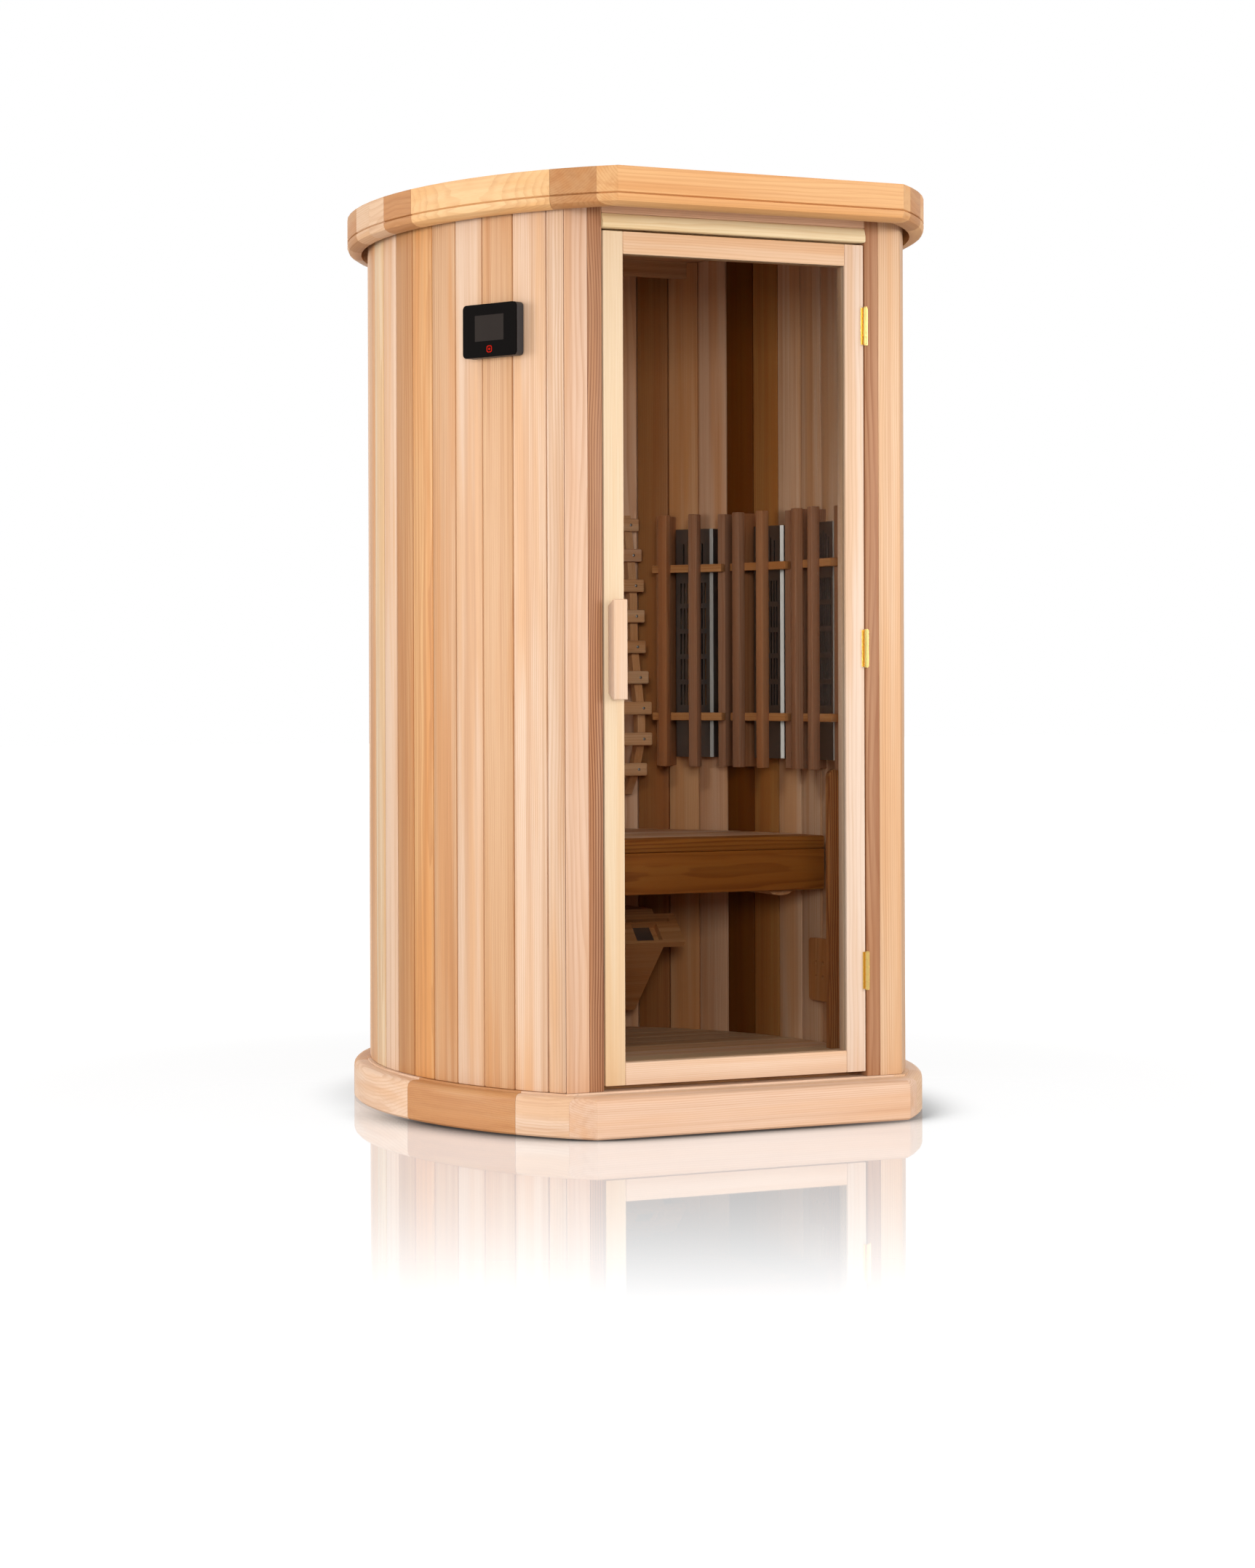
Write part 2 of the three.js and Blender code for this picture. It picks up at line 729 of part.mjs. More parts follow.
function buildHinges() {
  const heights = { top: doorTop - hingeFromTop, bottom: doorBottom + hingeFromBottom };
  heights.middle = (heights.top + heights.bottom) / 2;
  for (const [name, middle] of Object.entries(heights)) {
    const onJamb = hingeLeafBody([doorOpeningHalf - hingeLeaf, doorOpeningHalf], middle, 0);
    const onDoor = hingeLeafBody([doorHalf, doorHalf + hingeLeaf], middle, 1);
    const low = middle - hingeHeight / 2;
    const high = middle + hingeHeight / 2;
    const pin = joined([
      ring(pinRadius, [low - seat, high + seat]),
      ring(pinRadius + pinHead, [high + seat, high + seat + pinHead]),
      ring(pinRadius + pinHead, [low - seat - pinHead, low - seat]),
    ]);
    add(cabin, `hinge_jamb_leaf_${name}`, onJamb, brass);
    add(cabin, `hinge_pin_${name}`, pin, brass);
    add(door, `hinge_door_leaf_${name}`, onDoor, brass);
  }
}

// Control panel: a shallow housing on the face of one stave, with a glass front
function buildControl() {
  const start = staveEdge(controlStave - 0.5, 0);
  const end = staveEdge(controlStave + 0.5, 0);
  const along = end.clone().sub(start).normalize();
  const out = new THREE.Vector2(-along.y, along.x);
  const middle = start.add(end).multiplyScalar(0.5).addScaledVector(out, seat);
  const stave = new THREE.Group();
  stave.position.set(-middle.x, middle.y, controlMiddle);
  stave.rotation.z = Math.atan2(-out.x, -out.y);
  const panel = new THREE.Group();
  panel.rotation.x = Math.PI / 2;
  const face = roundedRectangle(controlWidth, controlHeight, controlCorner);
  const glassBack = controlDepth - controlGlass;
  add(panel, "control_housing", prism(face, [0, glassBack]), darkPlastic);
  add(panel, "control_glass", prism(face, [glassBack, controlDepth]), blackGlass);
  stave.add(panel);
  cabin.add(stave);
}

// Bench: slats on bearers and joists, an apron in front and cleats on the wall
function buildBench() {
  const across = [-wallHalfWidth, wallHalfWidth];
  const clear = interior(benchEndGap, wholeHeight);
  const slats = [];
  for (let slat = 0; slat < benchSlats; slat++) {
    const front = benchFront + slat * (benchSlatWidth + benchSlatGap);
    slats.push(block(across, [front, front + benchSlatWidth], [benchUnder, benchTop]));
  }
  const back = benchFront + benchSlats * (benchSlatWidth + benchSlatGap);
  const run = [benchFront + apronThickness + seat, back - benchSlatGap];
  const underSlats = interior(cleatThickness + seat + beyond, wholeHeight);
  const supports = [];
  for (const side of Object.values(sides)) {
    supports.push(bearer(side * bearerFromMiddle, run).intersect(underSlats));
    const joist = side * joistFromMiddle;
    const width = [joist - joistWidth / 2, joist + joistWidth / 2];
    supports.push(block(width, run, [benchUnder - joistHeight, benchUnder]).intersect(underSlats));
  }
  const seatBody = joined(slats).intersect(clear);
  add(cabin, "bench_seat", joined([seatBody, ...supports]), cedar.bench);
  const apronDepth = [benchFront, benchFront + apronThickness];
  const apron = block(across, apronDepth, [benchUnder - apronHeight, benchUnder]);
  add(cabin, "bench_apron", apron.intersect(clear), cedar.bench);
  const band = roomToWall.subtract(interior(cleatThickness, wholeHeight));
  for (const [sideName, side] of Object.entries(sides)) {
    const ends = side > 0 ? [0, wallHalfWidth] : [-wallHalfWidth, 0];
    const cleat = block(ends, [cleatFront, cleatBack], [benchUnder - cleatHeight, benchUnder]);
    add(cabin, `bench_cleat_${sideName}`, cleat.intersect(band), cedar.bench);
  }
}

// A deep bearer with its lower edges rounded, run from front to back under the slats.
function bearer(middle, run) {
  const half = bearerWidth / 2;
  const low = benchUnder - bearerHeight;
  const section = new THREE.Shape();
  section.moveTo(middle - half, benchUnder);
  section.lineTo(middle - half, low + bearerRound);
  section.absarc(middle - half + bearerRound, low + bearerRound, bearerRound, Math.PI, 1.5 * Math.PI);
  section.absarc(middle + half - bearerRound, low + bearerRound, bearerRound, -Math.PI / 2, 0);
  section.lineTo(middle + half, benchUnder);
  return alongY(section, run);
}

// Backrest: slats on two curved uprights whose ends meet the wall
function buildBackrest() {
  const share = uprightFromMiddle / (wallHalfWidth - staveThickness);
  const wallAt = (wallHalfDepth - staveThickness) * Math.sqrt(1 - share * share);
  const curve = new THREE.SplineCurve(uprightCurve.map(([rise, off]) => new THREE.Vector2(rise, off)));
  const samples = curve.getPoints(uprightSteps * (uprightCurve.length - 1));
  const back = samples.map((p) => new THREE.Vector2(wallAt - p.y, benchTop + p.x));
  const front = back.map((p) => new THREE.Vector2(p.x - uprightDepth, p.y));
  const pieces = Object.values(sides).map((side) => {
    const middle = side * uprightFromMiddle;
    const width = [middle - uprightThickness / 2, middle + uprightThickness / 2];
    return alongX(back.concat(front.toReversed()), width);
  });
  for (let slat = 0; slat < backrestSlats; slat++) {
    const middle = benchTop + backrestLowest + slat * backrestPitch;
    const next = front.findIndex((p) => p.y >= middle);
    const step = (middle - front[next - 1].y) / (front[next].y - front[next - 1].y);
    const face = THREE.MathUtils.lerp(front[next - 1].x, front[next].x, step) + backrestLap;
    const height = [middle - backrestSlatHeight / 2, middle + backrestSlatHeight / 2];
    const length = [-backrestSlatLength / 2, backrestSlatLength / 2];
    pieces.push(block(length, [face - backrestSlatThickness, face], height));
  }
  add(cabin, "backrest", joined(pieces).intersect(roomToWall), cedar.guard);
}

// Wall heater: a slotted sheet housing with the element in it, behind a wooden guard
function housingSection(width, depth, radius, back) {
  const half = width / 2;
  const section = new THREE.Shape();
  section.moveTo(-half, back);
  section.lineTo(half, back);
  section.lineTo(half, depth - radius);
  section.absarc(half - radius, depth - radius, radius, 0, Math.PI / 2);
  section.absarc(-half + radius, depth - radius, radius, Math.PI / 2, Math.PI);
  return section;
}

function slotBlocks(columns, low) {
  const depth = [housingDepth - housingSheet - beyond, housingDepth + beyond];
  return Array.from({ length: columns }, (_, column) => {
    const middle = (column - (columns - 1) / 2) * slotPitch;
    return block([middle - slotWidth / 2, middle + slotWidth / 2], depth, [low, low + slotHeight]);
  });
}

function heaterHousing() {
  const outer = housingSection(housingWidth, housingDepth, housingRound, 0);
  const innerWidth = housingWidth - 2 * housingSheet;
  const inner = housingSection(innerWidth, housingDepth - housingSheet, housingRound - housingSheet, -beyond);
  const slots = slotBlocks(ventSlotColumns, ventSlotsBottom);
  for (let row = 0; row < slotRows; row++) {
    slots.push(...slotBlocks(slotColumns, slotsBottom + row * slotRowPitch));
  }
  const shell = prism(outer, [housingBottom, housingTop])
    .subtract(prism(inner, [housingBottom + housingSheet, housingTop - housingSheet]))
    .subtract(joined(slots));
  const length = housingTop - housingBottom - housingSheet;
  const rod = new THREE.CylinderGeometry(elementRadius, elementRadius, length, elementSides);
  rod.rotateX(Math.PI / 2);
  rod.translate(0, housingDepth / 2, (housingTop + housingBottom) / 2);
  return shell.add(solidOf(rod));
}

function heaterGuard(wallSide) {
  const height = [guardBottom, guardTop];
  const half = guardWidth / 2;
  const railBack = guardPostDepth - guardLap;
  const railFront = guardPostDepth + guardRailThickness - guardLap;
  const pieces = [];
  for (const side of Object.values(sides)) {
    const post = mirrored(rectangle([half - guardPostWidth, half], [-beyond, guardPostDepth]), side);
    const middle = wallSide * guardSlatsRearward + (side * guardSlatSpacing) / 2;
    const width = [middle - guardSlatWidth / 2, middle + guardSlatWidth / 2];
    const depth = [railFront - guardLap, railFront + guardSlatThickness];
    pieces.push(prism(post, height), block(width, depth, height));
  }
  for (const rail of [guardRailLow, guardRailHigh]) {
    const railHeightRange = [rail - guardRailHeight / 2, rail + guardRailHeight / 2];
    pieces.push(block([-half, half], [railBack, railFront], railHeightRange));
  }
  return joined(pieces);
}

function buildHeaters() {
  const housing = heaterHousing();
  for (const [sideName, side] of Object.entries(sides)) {
    const guard = heaterGuard(side);
    heaterNames.forEach((name, i) => {
      const place = innerPlace(side * (heaterFirst + i * heaterSpacing));
      const room = scribedTo(roomToWall, place);
      add(place, `heater_housing_${sideName}_${name}`, housing.intersect(room), stainless);
      add(place, `heater_guard_${sideName}_${name}`, guard.intersect(room), cedar.guard);
      cabin.add(place);
    });
  }
}

// Leg heater: a point on its cross-section, along the upper slope from the nose and in from it.
function legPoint(along, deep) {
  const diagonal = Math.SQRT1_2;
  return new THREE.Vector2(legNose + (along + deep) * diagonal, legNoseHeight + (along - deep) * diagonal);
}

function legStrip(from, to, shallow, deep) {
  return [legPoint(from, shallow), legPoint(to, shallow), legPoint(to, deep), legPoint(from, deep)];
}

function legWedge(inset) {
  const nose = legPoint(inset, inset);
  const top = legTop - inset;
  const bottom = legBottom + inset;
  return outlineOf(
    [nose.x, nose.y],
    [nose.x + nose.y - bottom, bottom],
    [wallHalfDepth, bottom],
    [wallHalfDepth, top],
    [nose.x + top - nose.y, top],
  );
}

function buildLegHeater() {
  const slope = (legTop - legNoseHeight) * Math.SQRT2;
  const inside = legHalfWidth - legBoard;
  const shell = alongX(legWedge(0), [-legHalfWidth, legHalfWidth]);
  const slab = alongX(legStrip(0, slope - legBoard, 0, legBoard), [-legSlabHalfWidth, legSlabHalfWidth]);
  const windowPitch = (2 * legWindowHalf + legRib) / legWindows;
  const windows = Array.from({ length: legWindows }, (_, i) => {
    const left = -legWindowHalf + i * windowPitch;
    const strip = legStrip(legWindowLow, legWindowHigh, -beyond, legBoard + seat);
    return alongX(strip, [left, left + windowPitch - legRib]);
  });
  const slotStrip = legStrip(legSlotLow, legSlotHigh, -beyond, legBoard + beyond);
  const slot = alongX(slotStrip, [-legSlotHalf, legSlotHalf]);
  const box = shell
    .subtract(alongX(legWedge(legBoard), [-inside, inside]))
    .add(slab)
    .subtract(joined(windows))
    .subtract(slot)
    .intersect(roomToWall);
  add(cabin, "leg_heater_box", box, cedar.guard);
  const reach = inside - seat;
  const under = legBoard + seat;
  const panelTop = legWindowHigh + legPanelLap;
  const panel = legStrip(under, panelTop, under, under + legPanelThickness);
  add(cabin, "leg_heater_panel", alongX(panel, [-reach, reach]), stainless);
}

// Side board and air inlet on the right wall
function buildRightWall() {
  const wallX = wallHalfWidth - staveThickness;
  const run = [sideBoardFront, sideBoardFront + sideBoardThickness];
  const profile = new THREE.Shape();
  const left = wallX - sideBoardDepth;
  profile.moveTo(left, deckTop);
  profile.lineTo(wallHalfWidth, deckTop);
  profile.lineTo(wallHalfWidth, sideBoardTop);
  profile.absarc(left + sideBoardRound, sideBoardTop - sideBoardRound, sideBoardRound, Math.PI / 2, Math.PI);
  add(cabin, "side_board", alongY(profile, run).intersect(roomToWall), cedar.jamb);
  const face = roundedRectangle(inletWidth, inletHeight, inletRound);
  for (let row = 0; row < inletHoleRows; row++) {
    for (let column = 0; column < inletHoleColumns; column++) {
      const hole = new THREE.Path();
      const x = (column - (inletHoleColumns - 1) / 2) * inletHoleSpacing;
      const y = (row - (inletHoleRows - 1) / 2) * inletHoleSpacing;
      hole.absarc(x, y, inletHole, 0, 2 * Math.PI);
      face.holes.push(hole);
    }
  }
  const middle = [0, inletFront + inletWidth / 2, inletBottom + inletHeight / 2];
  const depth = [wallX - inletThickness, wallHalfWidth];
  const cover = alongX(face, depth, inletHoleArcSteps).translate(middle);
  add(cabin, "air_inlet_cover", cover.intersect(roomToWall), cedar.guard);
}

buildBase();
buildDeck();
buildWall();
buildDoorWall();
buildRoof();
buildDoor();
buildHinges();
buildControl();
buildBench();
buildBackrest();
buildHeaters();
buildLegHeater();
buildRightWall();

const sauna = new THREE.Group();
sauna.add(cabin, door);
const crownBack = wallHalfDepth + crownOverhang;
const crownFront = frontFace - crownFrontOverhang;
sauna.position.y = -(crownBack + crownFront) / 2;

export default sauna;
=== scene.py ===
"""Looks of an oval infrared sauna cabin: cedar, tinted door, heaters, hinges, control panel."""

import logging
import math
from dataclasses import dataclass, field
from enum import Enum
from random import Random
from typing import Iterable, Sequence

import bmesh
import bpy
from mathutils import Euler, Matrix, Vector


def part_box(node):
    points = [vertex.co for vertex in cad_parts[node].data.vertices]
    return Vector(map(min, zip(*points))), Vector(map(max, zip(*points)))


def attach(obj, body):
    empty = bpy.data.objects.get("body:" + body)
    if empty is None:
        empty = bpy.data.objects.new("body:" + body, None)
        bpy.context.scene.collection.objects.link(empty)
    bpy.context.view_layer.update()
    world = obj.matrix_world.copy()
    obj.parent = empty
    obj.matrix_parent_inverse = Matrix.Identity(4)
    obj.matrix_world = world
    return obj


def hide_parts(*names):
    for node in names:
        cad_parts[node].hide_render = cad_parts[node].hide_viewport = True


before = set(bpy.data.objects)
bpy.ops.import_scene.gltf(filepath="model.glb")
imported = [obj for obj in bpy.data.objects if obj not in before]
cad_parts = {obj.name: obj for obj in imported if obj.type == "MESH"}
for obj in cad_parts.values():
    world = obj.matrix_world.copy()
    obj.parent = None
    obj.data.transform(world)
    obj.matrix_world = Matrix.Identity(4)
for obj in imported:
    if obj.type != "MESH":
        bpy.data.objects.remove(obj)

logging.basicConfig(level=logging.INFO, format="%(name)s: %(message)s")
log = logging.getLogger("sauna")

Pair = tuple[float, float]
Triple = tuple[float, float, float]
Colour = tuple[float, float, float, float]
Faces = list[list[int]]
Shape = bmesh.types.BMesh
Mesh = bpy.types.Mesh
Socket = bpy.types.NodeSocket
Value = Socket | float | Sequence[float]

UP = Vector((0.0, 0.0, 1.0))
RIGHT = Vector((1.0, 0.0, 0.0))
BACK = Vector((0.0, 1.0, 0.0))
WHITE: Colour = (1.0, 1.0, 1.0, 1.0)
UNLIT: Colour = (0.0, 0.0, 0.0, 1.0)
CABIN = "cabin"
DOOR = "door"
BENCH_TOP = 0.555
SEED_STEP = 10


class Side(Enum):
    """The two sides of the cabin, seen from outside the door."""

    LEFT = -1
    RIGHT = 1

    @property
    def word(self) -> str:
        """The side's name as the solids spell it."""
        return self.name.lower()


def colour(code: str) -> Colour:
    """Turns a display colour into linear light.

    Args:
        code: Six hexadecimal digits.

    Returns:
        Red, green, blue and alpha in linear light.
    """
    parts = [int(code[i : i + 2], 16) / 255 for i in (0, 2, 4)]
    light = [p / 12.92 if p <= 0.04045 else ((p + 0.055) / 1.055) ** 2.4 for p in parts]
    return (light[0], light[1], light[2], 1.0)


def dimmed(light: Colour, share: float) -> Colour:
    """A colour with its light turned down to a share."""
    return (light[0] * share, light[1] * share, light[2] * share, 1.0)


class Tint:
    """Cedar tints, pale to dark, as single boards show them."""

    # Pale cedar tint: partly the trim's own tone and partly painted light that lifts it out of the
    # crown's shade.
    PALE = colour("ffe6b8")
    BLUSH = colour("ffe2ca")
    CREAM = colour("f9deba")
    PEACH = colour("fbd8ba")
    PINK = colour("f6cdae")
    SAND = colour("f6cda6")
    TAN = colour("edbd90")
    HONEY = colour("ffcf94")
    GOLD = colour("f6bd80")
    BROWN = colour("d8a06a")
    CLAY = colour("ba8f74")
    ROSE = colour("c8926a")
    OLIVE = colour("c28c50")
    RUST = colour("b27c4a")
    AMBER = colour("b4742f")
    DEEP = colour("7e4910")


class Graph:
    """A node tree under construction, with nodes wired up by socket name."""

    NOISE_ROUGHNESS = 0.55
    NOISE_MIDDLE = 0.5
    MIX_SHARE, MIX_FIRST, MIX_SECOND, MIX_RESULT = 0, 6, 7, 2

    def __init__(self, tree: bpy.types.NodeTree) -> None:
        """Starts from an emptied tree."""
        self.tree = tree
        tree.nodes.clear()

    def add(
        self, kind: str, inputs: dict[str | int, object] | None = None, **settings: object
    ) -> bpy.types.Node:
        """Adds a node and sets or links its inputs.

        Args:
            kind: The node's type name.
            inputs: Socket name or index to a value or to an output socket.
            **settings: Properties of the node itself.

        Returns:
            The new node.
        """
        node = self.tree.nodes.new(kind)
        for name, value in settings.items():
            setattr(node, name, value)
        for key, value in (inputs or {}).items():
            if isinstance(value, Socket):
                self.tree.links.new(value, node.inputs[key])
            else:
                node.inputs[key].default_value = value
        return node

    def flow(
        self, kind: str, inputs: dict[str | int, object] | None = None, **settings: object
    ) -> Socket:
        """Adds a node as add does and returns its first output."""
        return self.add(kind, inputs, **settings).outputs[0]

    def math(self, operation: str, *values: Value) -> Socket:
        """Adds a Math node over values or sockets and returns its result."""
        return self.flow("ShaderNodeMath", dict(enumerate(values)), operation=operation)

    def plus(self, first: Value, second: Value) -> Socket:
        """Adds two values."""
        return self.math("ADD", first, second)

    def minus(self, first: Value, second: Value) -> Socket:
        """Takes one value from another."""
        return self.math("SUBTRACT", first, second)

    def times(self, first: Value, second: Value) -> Socket:
        """Multiplies two values."""
        return self.math("MULTIPLY", first, second)

    def mix(self, share: Value, first: Value, second: Value, blend: str = "MIX") -> Socket:
        """Mixes two colours.

        Args:
            share: How much of the second colour shows.
            first: The first colour.
            second: The second colour.
            blend: How the second colour is laid over the first.

        Returns:
            The mixed colour.
        """
        inputs = {self.MIX_SHARE: share, self.MIX_FIRST: first, self.MIX_SECOND: second}
        node = self.add("ShaderNodeMix", inputs, data_type="RGBA", blend_type=blend)
        return node.outputs[self.MIX_RESULT]

    def stretched_noise(self, vector: Socket, scale: Triple, detail: float) -> Socket:
        """Adds noise scaled differently along each axis of a vector.

        Args:
            vector: The coordinates that the noise is drawn over.
            scale: Noise cells per metre along each axis.
            detail: Finer layers of noise in it.

        Returns:
            The noise, mostly between 0.3 and 0.7.
        """
        placed = self.flow("ShaderNodeMapping", {"Vector": vector, "Scale": scale})
        inputs = {
            "Vector": placed,
            "Scale": 1.0,
            "Detail": detail,
            "Roughness": self.NOISE_ROUGHNESS,
        }
        return self.add("ShaderNodeTexNoise", inputs).outputs["Fac"]

    def centred(self, noise: Socket) -> Socket:
        """Shifts noise so that it varies about zero."""
        return self.minus(noise, self.NOISE_MIDDLE)

    def band(self, value: Value, ends: Pair) -> Socket:
        """Adds a smooth step from 0 at the first end to 1 at the second and returns it."""
        inputs = {"Value": value, "From Min": ends[0], "From Max": ends[1]}
        return self.flow("ShaderNodeMapRange", inputs, interpolation_type="SMOOTHSTEP")

    def grey(self, share: Socket) -> Socket:
        """Turns a share into a grey."""
        return self.flow("ShaderNodeCombineColor", {0: share, 1: share, 2: share})

    def bump(self, height: Socket, size: Pair) -> Socket:
        """Adds a Bump node of a strength and a distance and returns its normal."""
        inputs = {"Height": height, "Strength": size[0], "Distance": size[1]}
        return self.flow("ShaderNodeBump", inputs)

    def principled(self, inputs: dict[str | int, object]) -> Socket:
        """Adds a Principled shader and returns it."""
        return self.flow("ShaderNodeBsdfPrincipled", inputs)

    def surface(self, shader: Socket) -> None:
        """Ends a material in a shader."""
        self.add("ShaderNodeOutputMaterial", {"Surface": shader})


def new_group(name: str, inputs: dict[str, str], outputs: dict[str, str]) -> bpy.types.NodeTree:
    """Makes a shader group with named sockets.

    Args:
        name: The group's name.
        inputs: Input names to socket types.
        outputs: Output names to socket types.

    Returns:
        The empty group.
    """
    tree = bpy.data.node_groups.new(name, "ShaderNodeTree")
    for way, sockets in (("INPUT", inputs), ("OUTPUT", outputs)):
        for label, kind in sockets.items():
            tree.interface.new_socket(name=label, in_out=way, socket_type=kind)
    return tree


@dataclass(frozen=True)
class CedarFigure:
    """Growth rings cut by a board's faces, with streaks, blush and fine fibres.

    Scales are noise cells per metre, along the grain first. Bands are the noise values
    between which an effect sets in.
    """

    soft_detail: float = 2.0
    sway_scale: Triple = (1.1, 5.0, 5.0)
    waver_scale: Triple = (4.0, 40.0, 40.0)
    waver_reach: float = 0.004
    late_wood: Pair = (0.35, 0.93)
    ring_end: Pair = (0.94, 1.0)
    patch_scale: Triple = (0.7, 30.0, 30.0)
    patch_band: Pair = (0.3, 0.75)
    patch_least: float = 0.35
    streak_scale: Triple = (0.8, 75.0, 75.0)
    streak_detail: float = 4.0
    streak_band: Pair = (0.42, 0.78)
    fibre_scale: Triple = (9.0, 900.0, 900.0)
    fibre_detail: float = 3.0
    fibre_band: Pair = (0.45, 0.85)
    fibre_share: float = 0.32
    blush_scale: Triple = (1.1, 22.0, 22.0)
    blush_band: Pair = (0.4, 0.65)
    blush_paint: str = "f7dcb8"
    rough_spread: float = 0.22
    fibre_height: float = 0.7
    ring_height: float = -0.4
    matt: float = 0.72

    def empty_tree(self) -> bpy.types.NodeTree:
        """Makes the group with its sockets and nothing in it.

        Returns:
            The empty group.
        """
        number, paint = "NodeSocketFloat", "NodeSocketColor"
        inputs = {
            "Grain": "NodeSocketVector",
            "Tint": paint,
            "Ring Width": number,
            "Ring Strength": number,
            "Streak Strength": number,
            "Blush Strength": number,
            "Line Colour": paint,
            "Sway": number,
            "Roughness": number,
        }
        outputs = {"Colour": paint, "Roughness": number, "Height": number}
        return new_group("cedar_figure", inputs, outputs)

    def ring_lines(self, g: Graph, grain: Socket, width: Socket, sway: Socket) -> Socket:
        """Draws the dark lines of late wood round a wavering pith.

        Args:
            g: The group's graph.
            grain: The board's own grain vector.
            width: Distance from ring to ring.
            sway: How far the rings wander along the board.

        Returns:
            A mask of the lines, patchy along the board.
        """
        axes = g.add("ShaderNodeSeparateXYZ", {0: grain}).outputs
        drift = g.centred(g.stretched_noise(grain, self.sway_scale, self.soft_detail))
        waver = g.centred(g.stretched_noise(grain, self.waver_scale, self.soft_detail))
        offset = g.plus(g.times(drift, sway), g.times(waver, self.waver_reach))
        squares = g.plus(g.math("POWER", axes[1], 2.0), g.math("POWER", axes[2], 2.0))
        radius = g.plus(g.math("SQRT", squares), offset)
        ring = g.math("FRACT", g.math("DIVIDE", radius, width))
        ended = g.minus(1.0, g.band(ring, self.ring_end))
        late = g.times(g.band(ring, self.late_wood), ended)
        noise = g.stretched_noise(grain, self.patch_scale, self.soft_detail)
        patches = g.times(g.band(noise, self.patch_band), 1.0 - self.patch_least)
        return g.times(late, g.plus(self.patch_least, patches))

    def tree(self) -> bpy.types.NodeTree:
        """Builds the group.

        Returns:
            A group from a board's grain vector and tint to colour, roughness and height.
        """
        tree = self.empty_tree()
        g = Graph(tree)
        given = g.add("NodeGroupInput").outputs
        grain, tint = given["Grain"], given["Tint"]
        line = self.ring_lines(g, grain, given["Ring Width"], given["Sway"])
        streak = g.stretched_noise(grain, self.streak_scale, self.streak_detail)
        fibre = g.stretched_noise(grain, self.fibre_scale, self.fibre_detail)
        blush = g.stretched_noise(grain, self.blush_scale, self.soft_detail)
        dark = g.mix(1.0, tint, given["Line Colour"], "MULTIPLY")
        warm = g.mix(1.0, tint, colour(self.blush_paint), "MULTIPLY")
        share = g.times(g.band(blush, self.blush_band), given["Blush Strength"])
        wood = g.mix(share, tint, warm)
        for mask, strength in (
            (line, given["Ring Strength"]),
            (g.band(streak, self.streak_band), given["Streak Strength"]),
            (g.band(fibre, self.fibre_band), self.fibre_share),
        ):
            wood = g.mix(g.times(mask, strength), wood, dark)
        matt = g.mix(1.0, wood, dimmed(WHITE, self.matt), "MULTIPLY")
        spread = g.times(g.centred(fibre), self.rough_spread)
        height = g.plus(g.times(fibre, self.fibre_height), g.times(line, self.ring_height))
        rough = g.plus(given["Roughness"], spread)
        g.add("NodeGroupOutput", {"Colour": matt, "Roughness": rough, "Height": height})
        return tree


@dataclass(frozen=True)
class HandlingMarks:
    """Fine scratches and smudges for metal, glass and plastic."""

    smudge_scale: Triple = (14.0, 14.0, 9.0)
    smudge_detail: float = 4.0
    brush_scale: Triple = (1500.0, 1500.0, 14.0)
    brush_detail: float = 2.0

    def tree(self) -> bpy.types.NodeTree:
        """Builds the group.

        Returns:
            A group from Object coordinates to a roughness and a height.
        """
        number = "NodeSocketFloat"
        tree = new_group(
            "handling_marks",
            {"Place": "NodeSocketVector", "Roughness": number, "Smudge": number, "Brush": number},
            {"Roughness": number, "Height": number},
        )
        g = Graph(tree)
        given = g.add("NodeGroupInput").outputs
        place = given["Place"]
        smudge = g.centred(g.stretched_noise(place, self.smudge_scale, self.smudge_detail))
        brush = g.centred(g.stretched_noise(place, self.brush_scale, self.brush_detail))
        rough = g.plus(given["Roughness"], g.times(smudge, given["Smudge"]))
        rough = g.plus(rough, g.times(brush, given["Brush"]))
        g.add("NodeGroupOutput", {"Roughness": rough, "Height": brush})
        return tree


CEDAR_FIGURE = CedarFigure().tree()
HANDLING_MARKS = HandlingMarks().tree()


def new_material(name: str) -> tuple[bpy.types.Material, Graph]:
    """Starts a node material.

    Args:
        name: The material's name.

    Returns:
        The empty material and the graph that fills it.
    """
    material = bpy.data.materials.new(name)
    material.use_nodes = True
    return material, Graph(material.node_tree)


@dataclass(frozen=True)
class Cedar:
    """Bare sanded cedar, drawn from each board's own grain and tint."""

    name: str
    ring_width: float = 0.0042
    ring_strength: float = 0.55
    streak_strength: float = 0.45
    blush_strength: float = 0.55
    line: str = "dcc0a4"
    sway: float = 0.02
    roughness: float = 0.5
    specular: float = 0.3
    bump: Pair = (0.25, 0.0005)

    def material(self) -> bpy.types.Material:
        """Builds the material.

        Returns:
            The finished material.
        """
        material, g = new_material(self.name)
        grain = g.add("ShaderNodeAttribute", attribute_name="grain")
        tint = g.add("ShaderNodeAttribute", attribute_name="tint")
        values = {
            "Grain": grain.outputs["Vector"],
            "Tint": tint.outputs["Color"],
            "Ring Width": self.ring_width,
            "Ring Strength": self.ring_strength,
            "Streak Strength": self.streak_strength,
            "Blush Strength": self.blush_strength,
            "Line Colour": colour(self.line),
            "Sway": self.sway,
            "Roughness": self.roughness,
        }
        figure = g.add("ShaderNodeGroup", values, node_tree=CEDAR_FIGURE).outputs
        inputs = {
            "Base Color": figure["Colour"],
            "Roughness": figure["Roughness"],
            "Normal": g.bump(figure["Height"], self.bump),
            "Specular IOR Level": self.specular,
        }
        g.surface(g.principled(inputs))
        return material


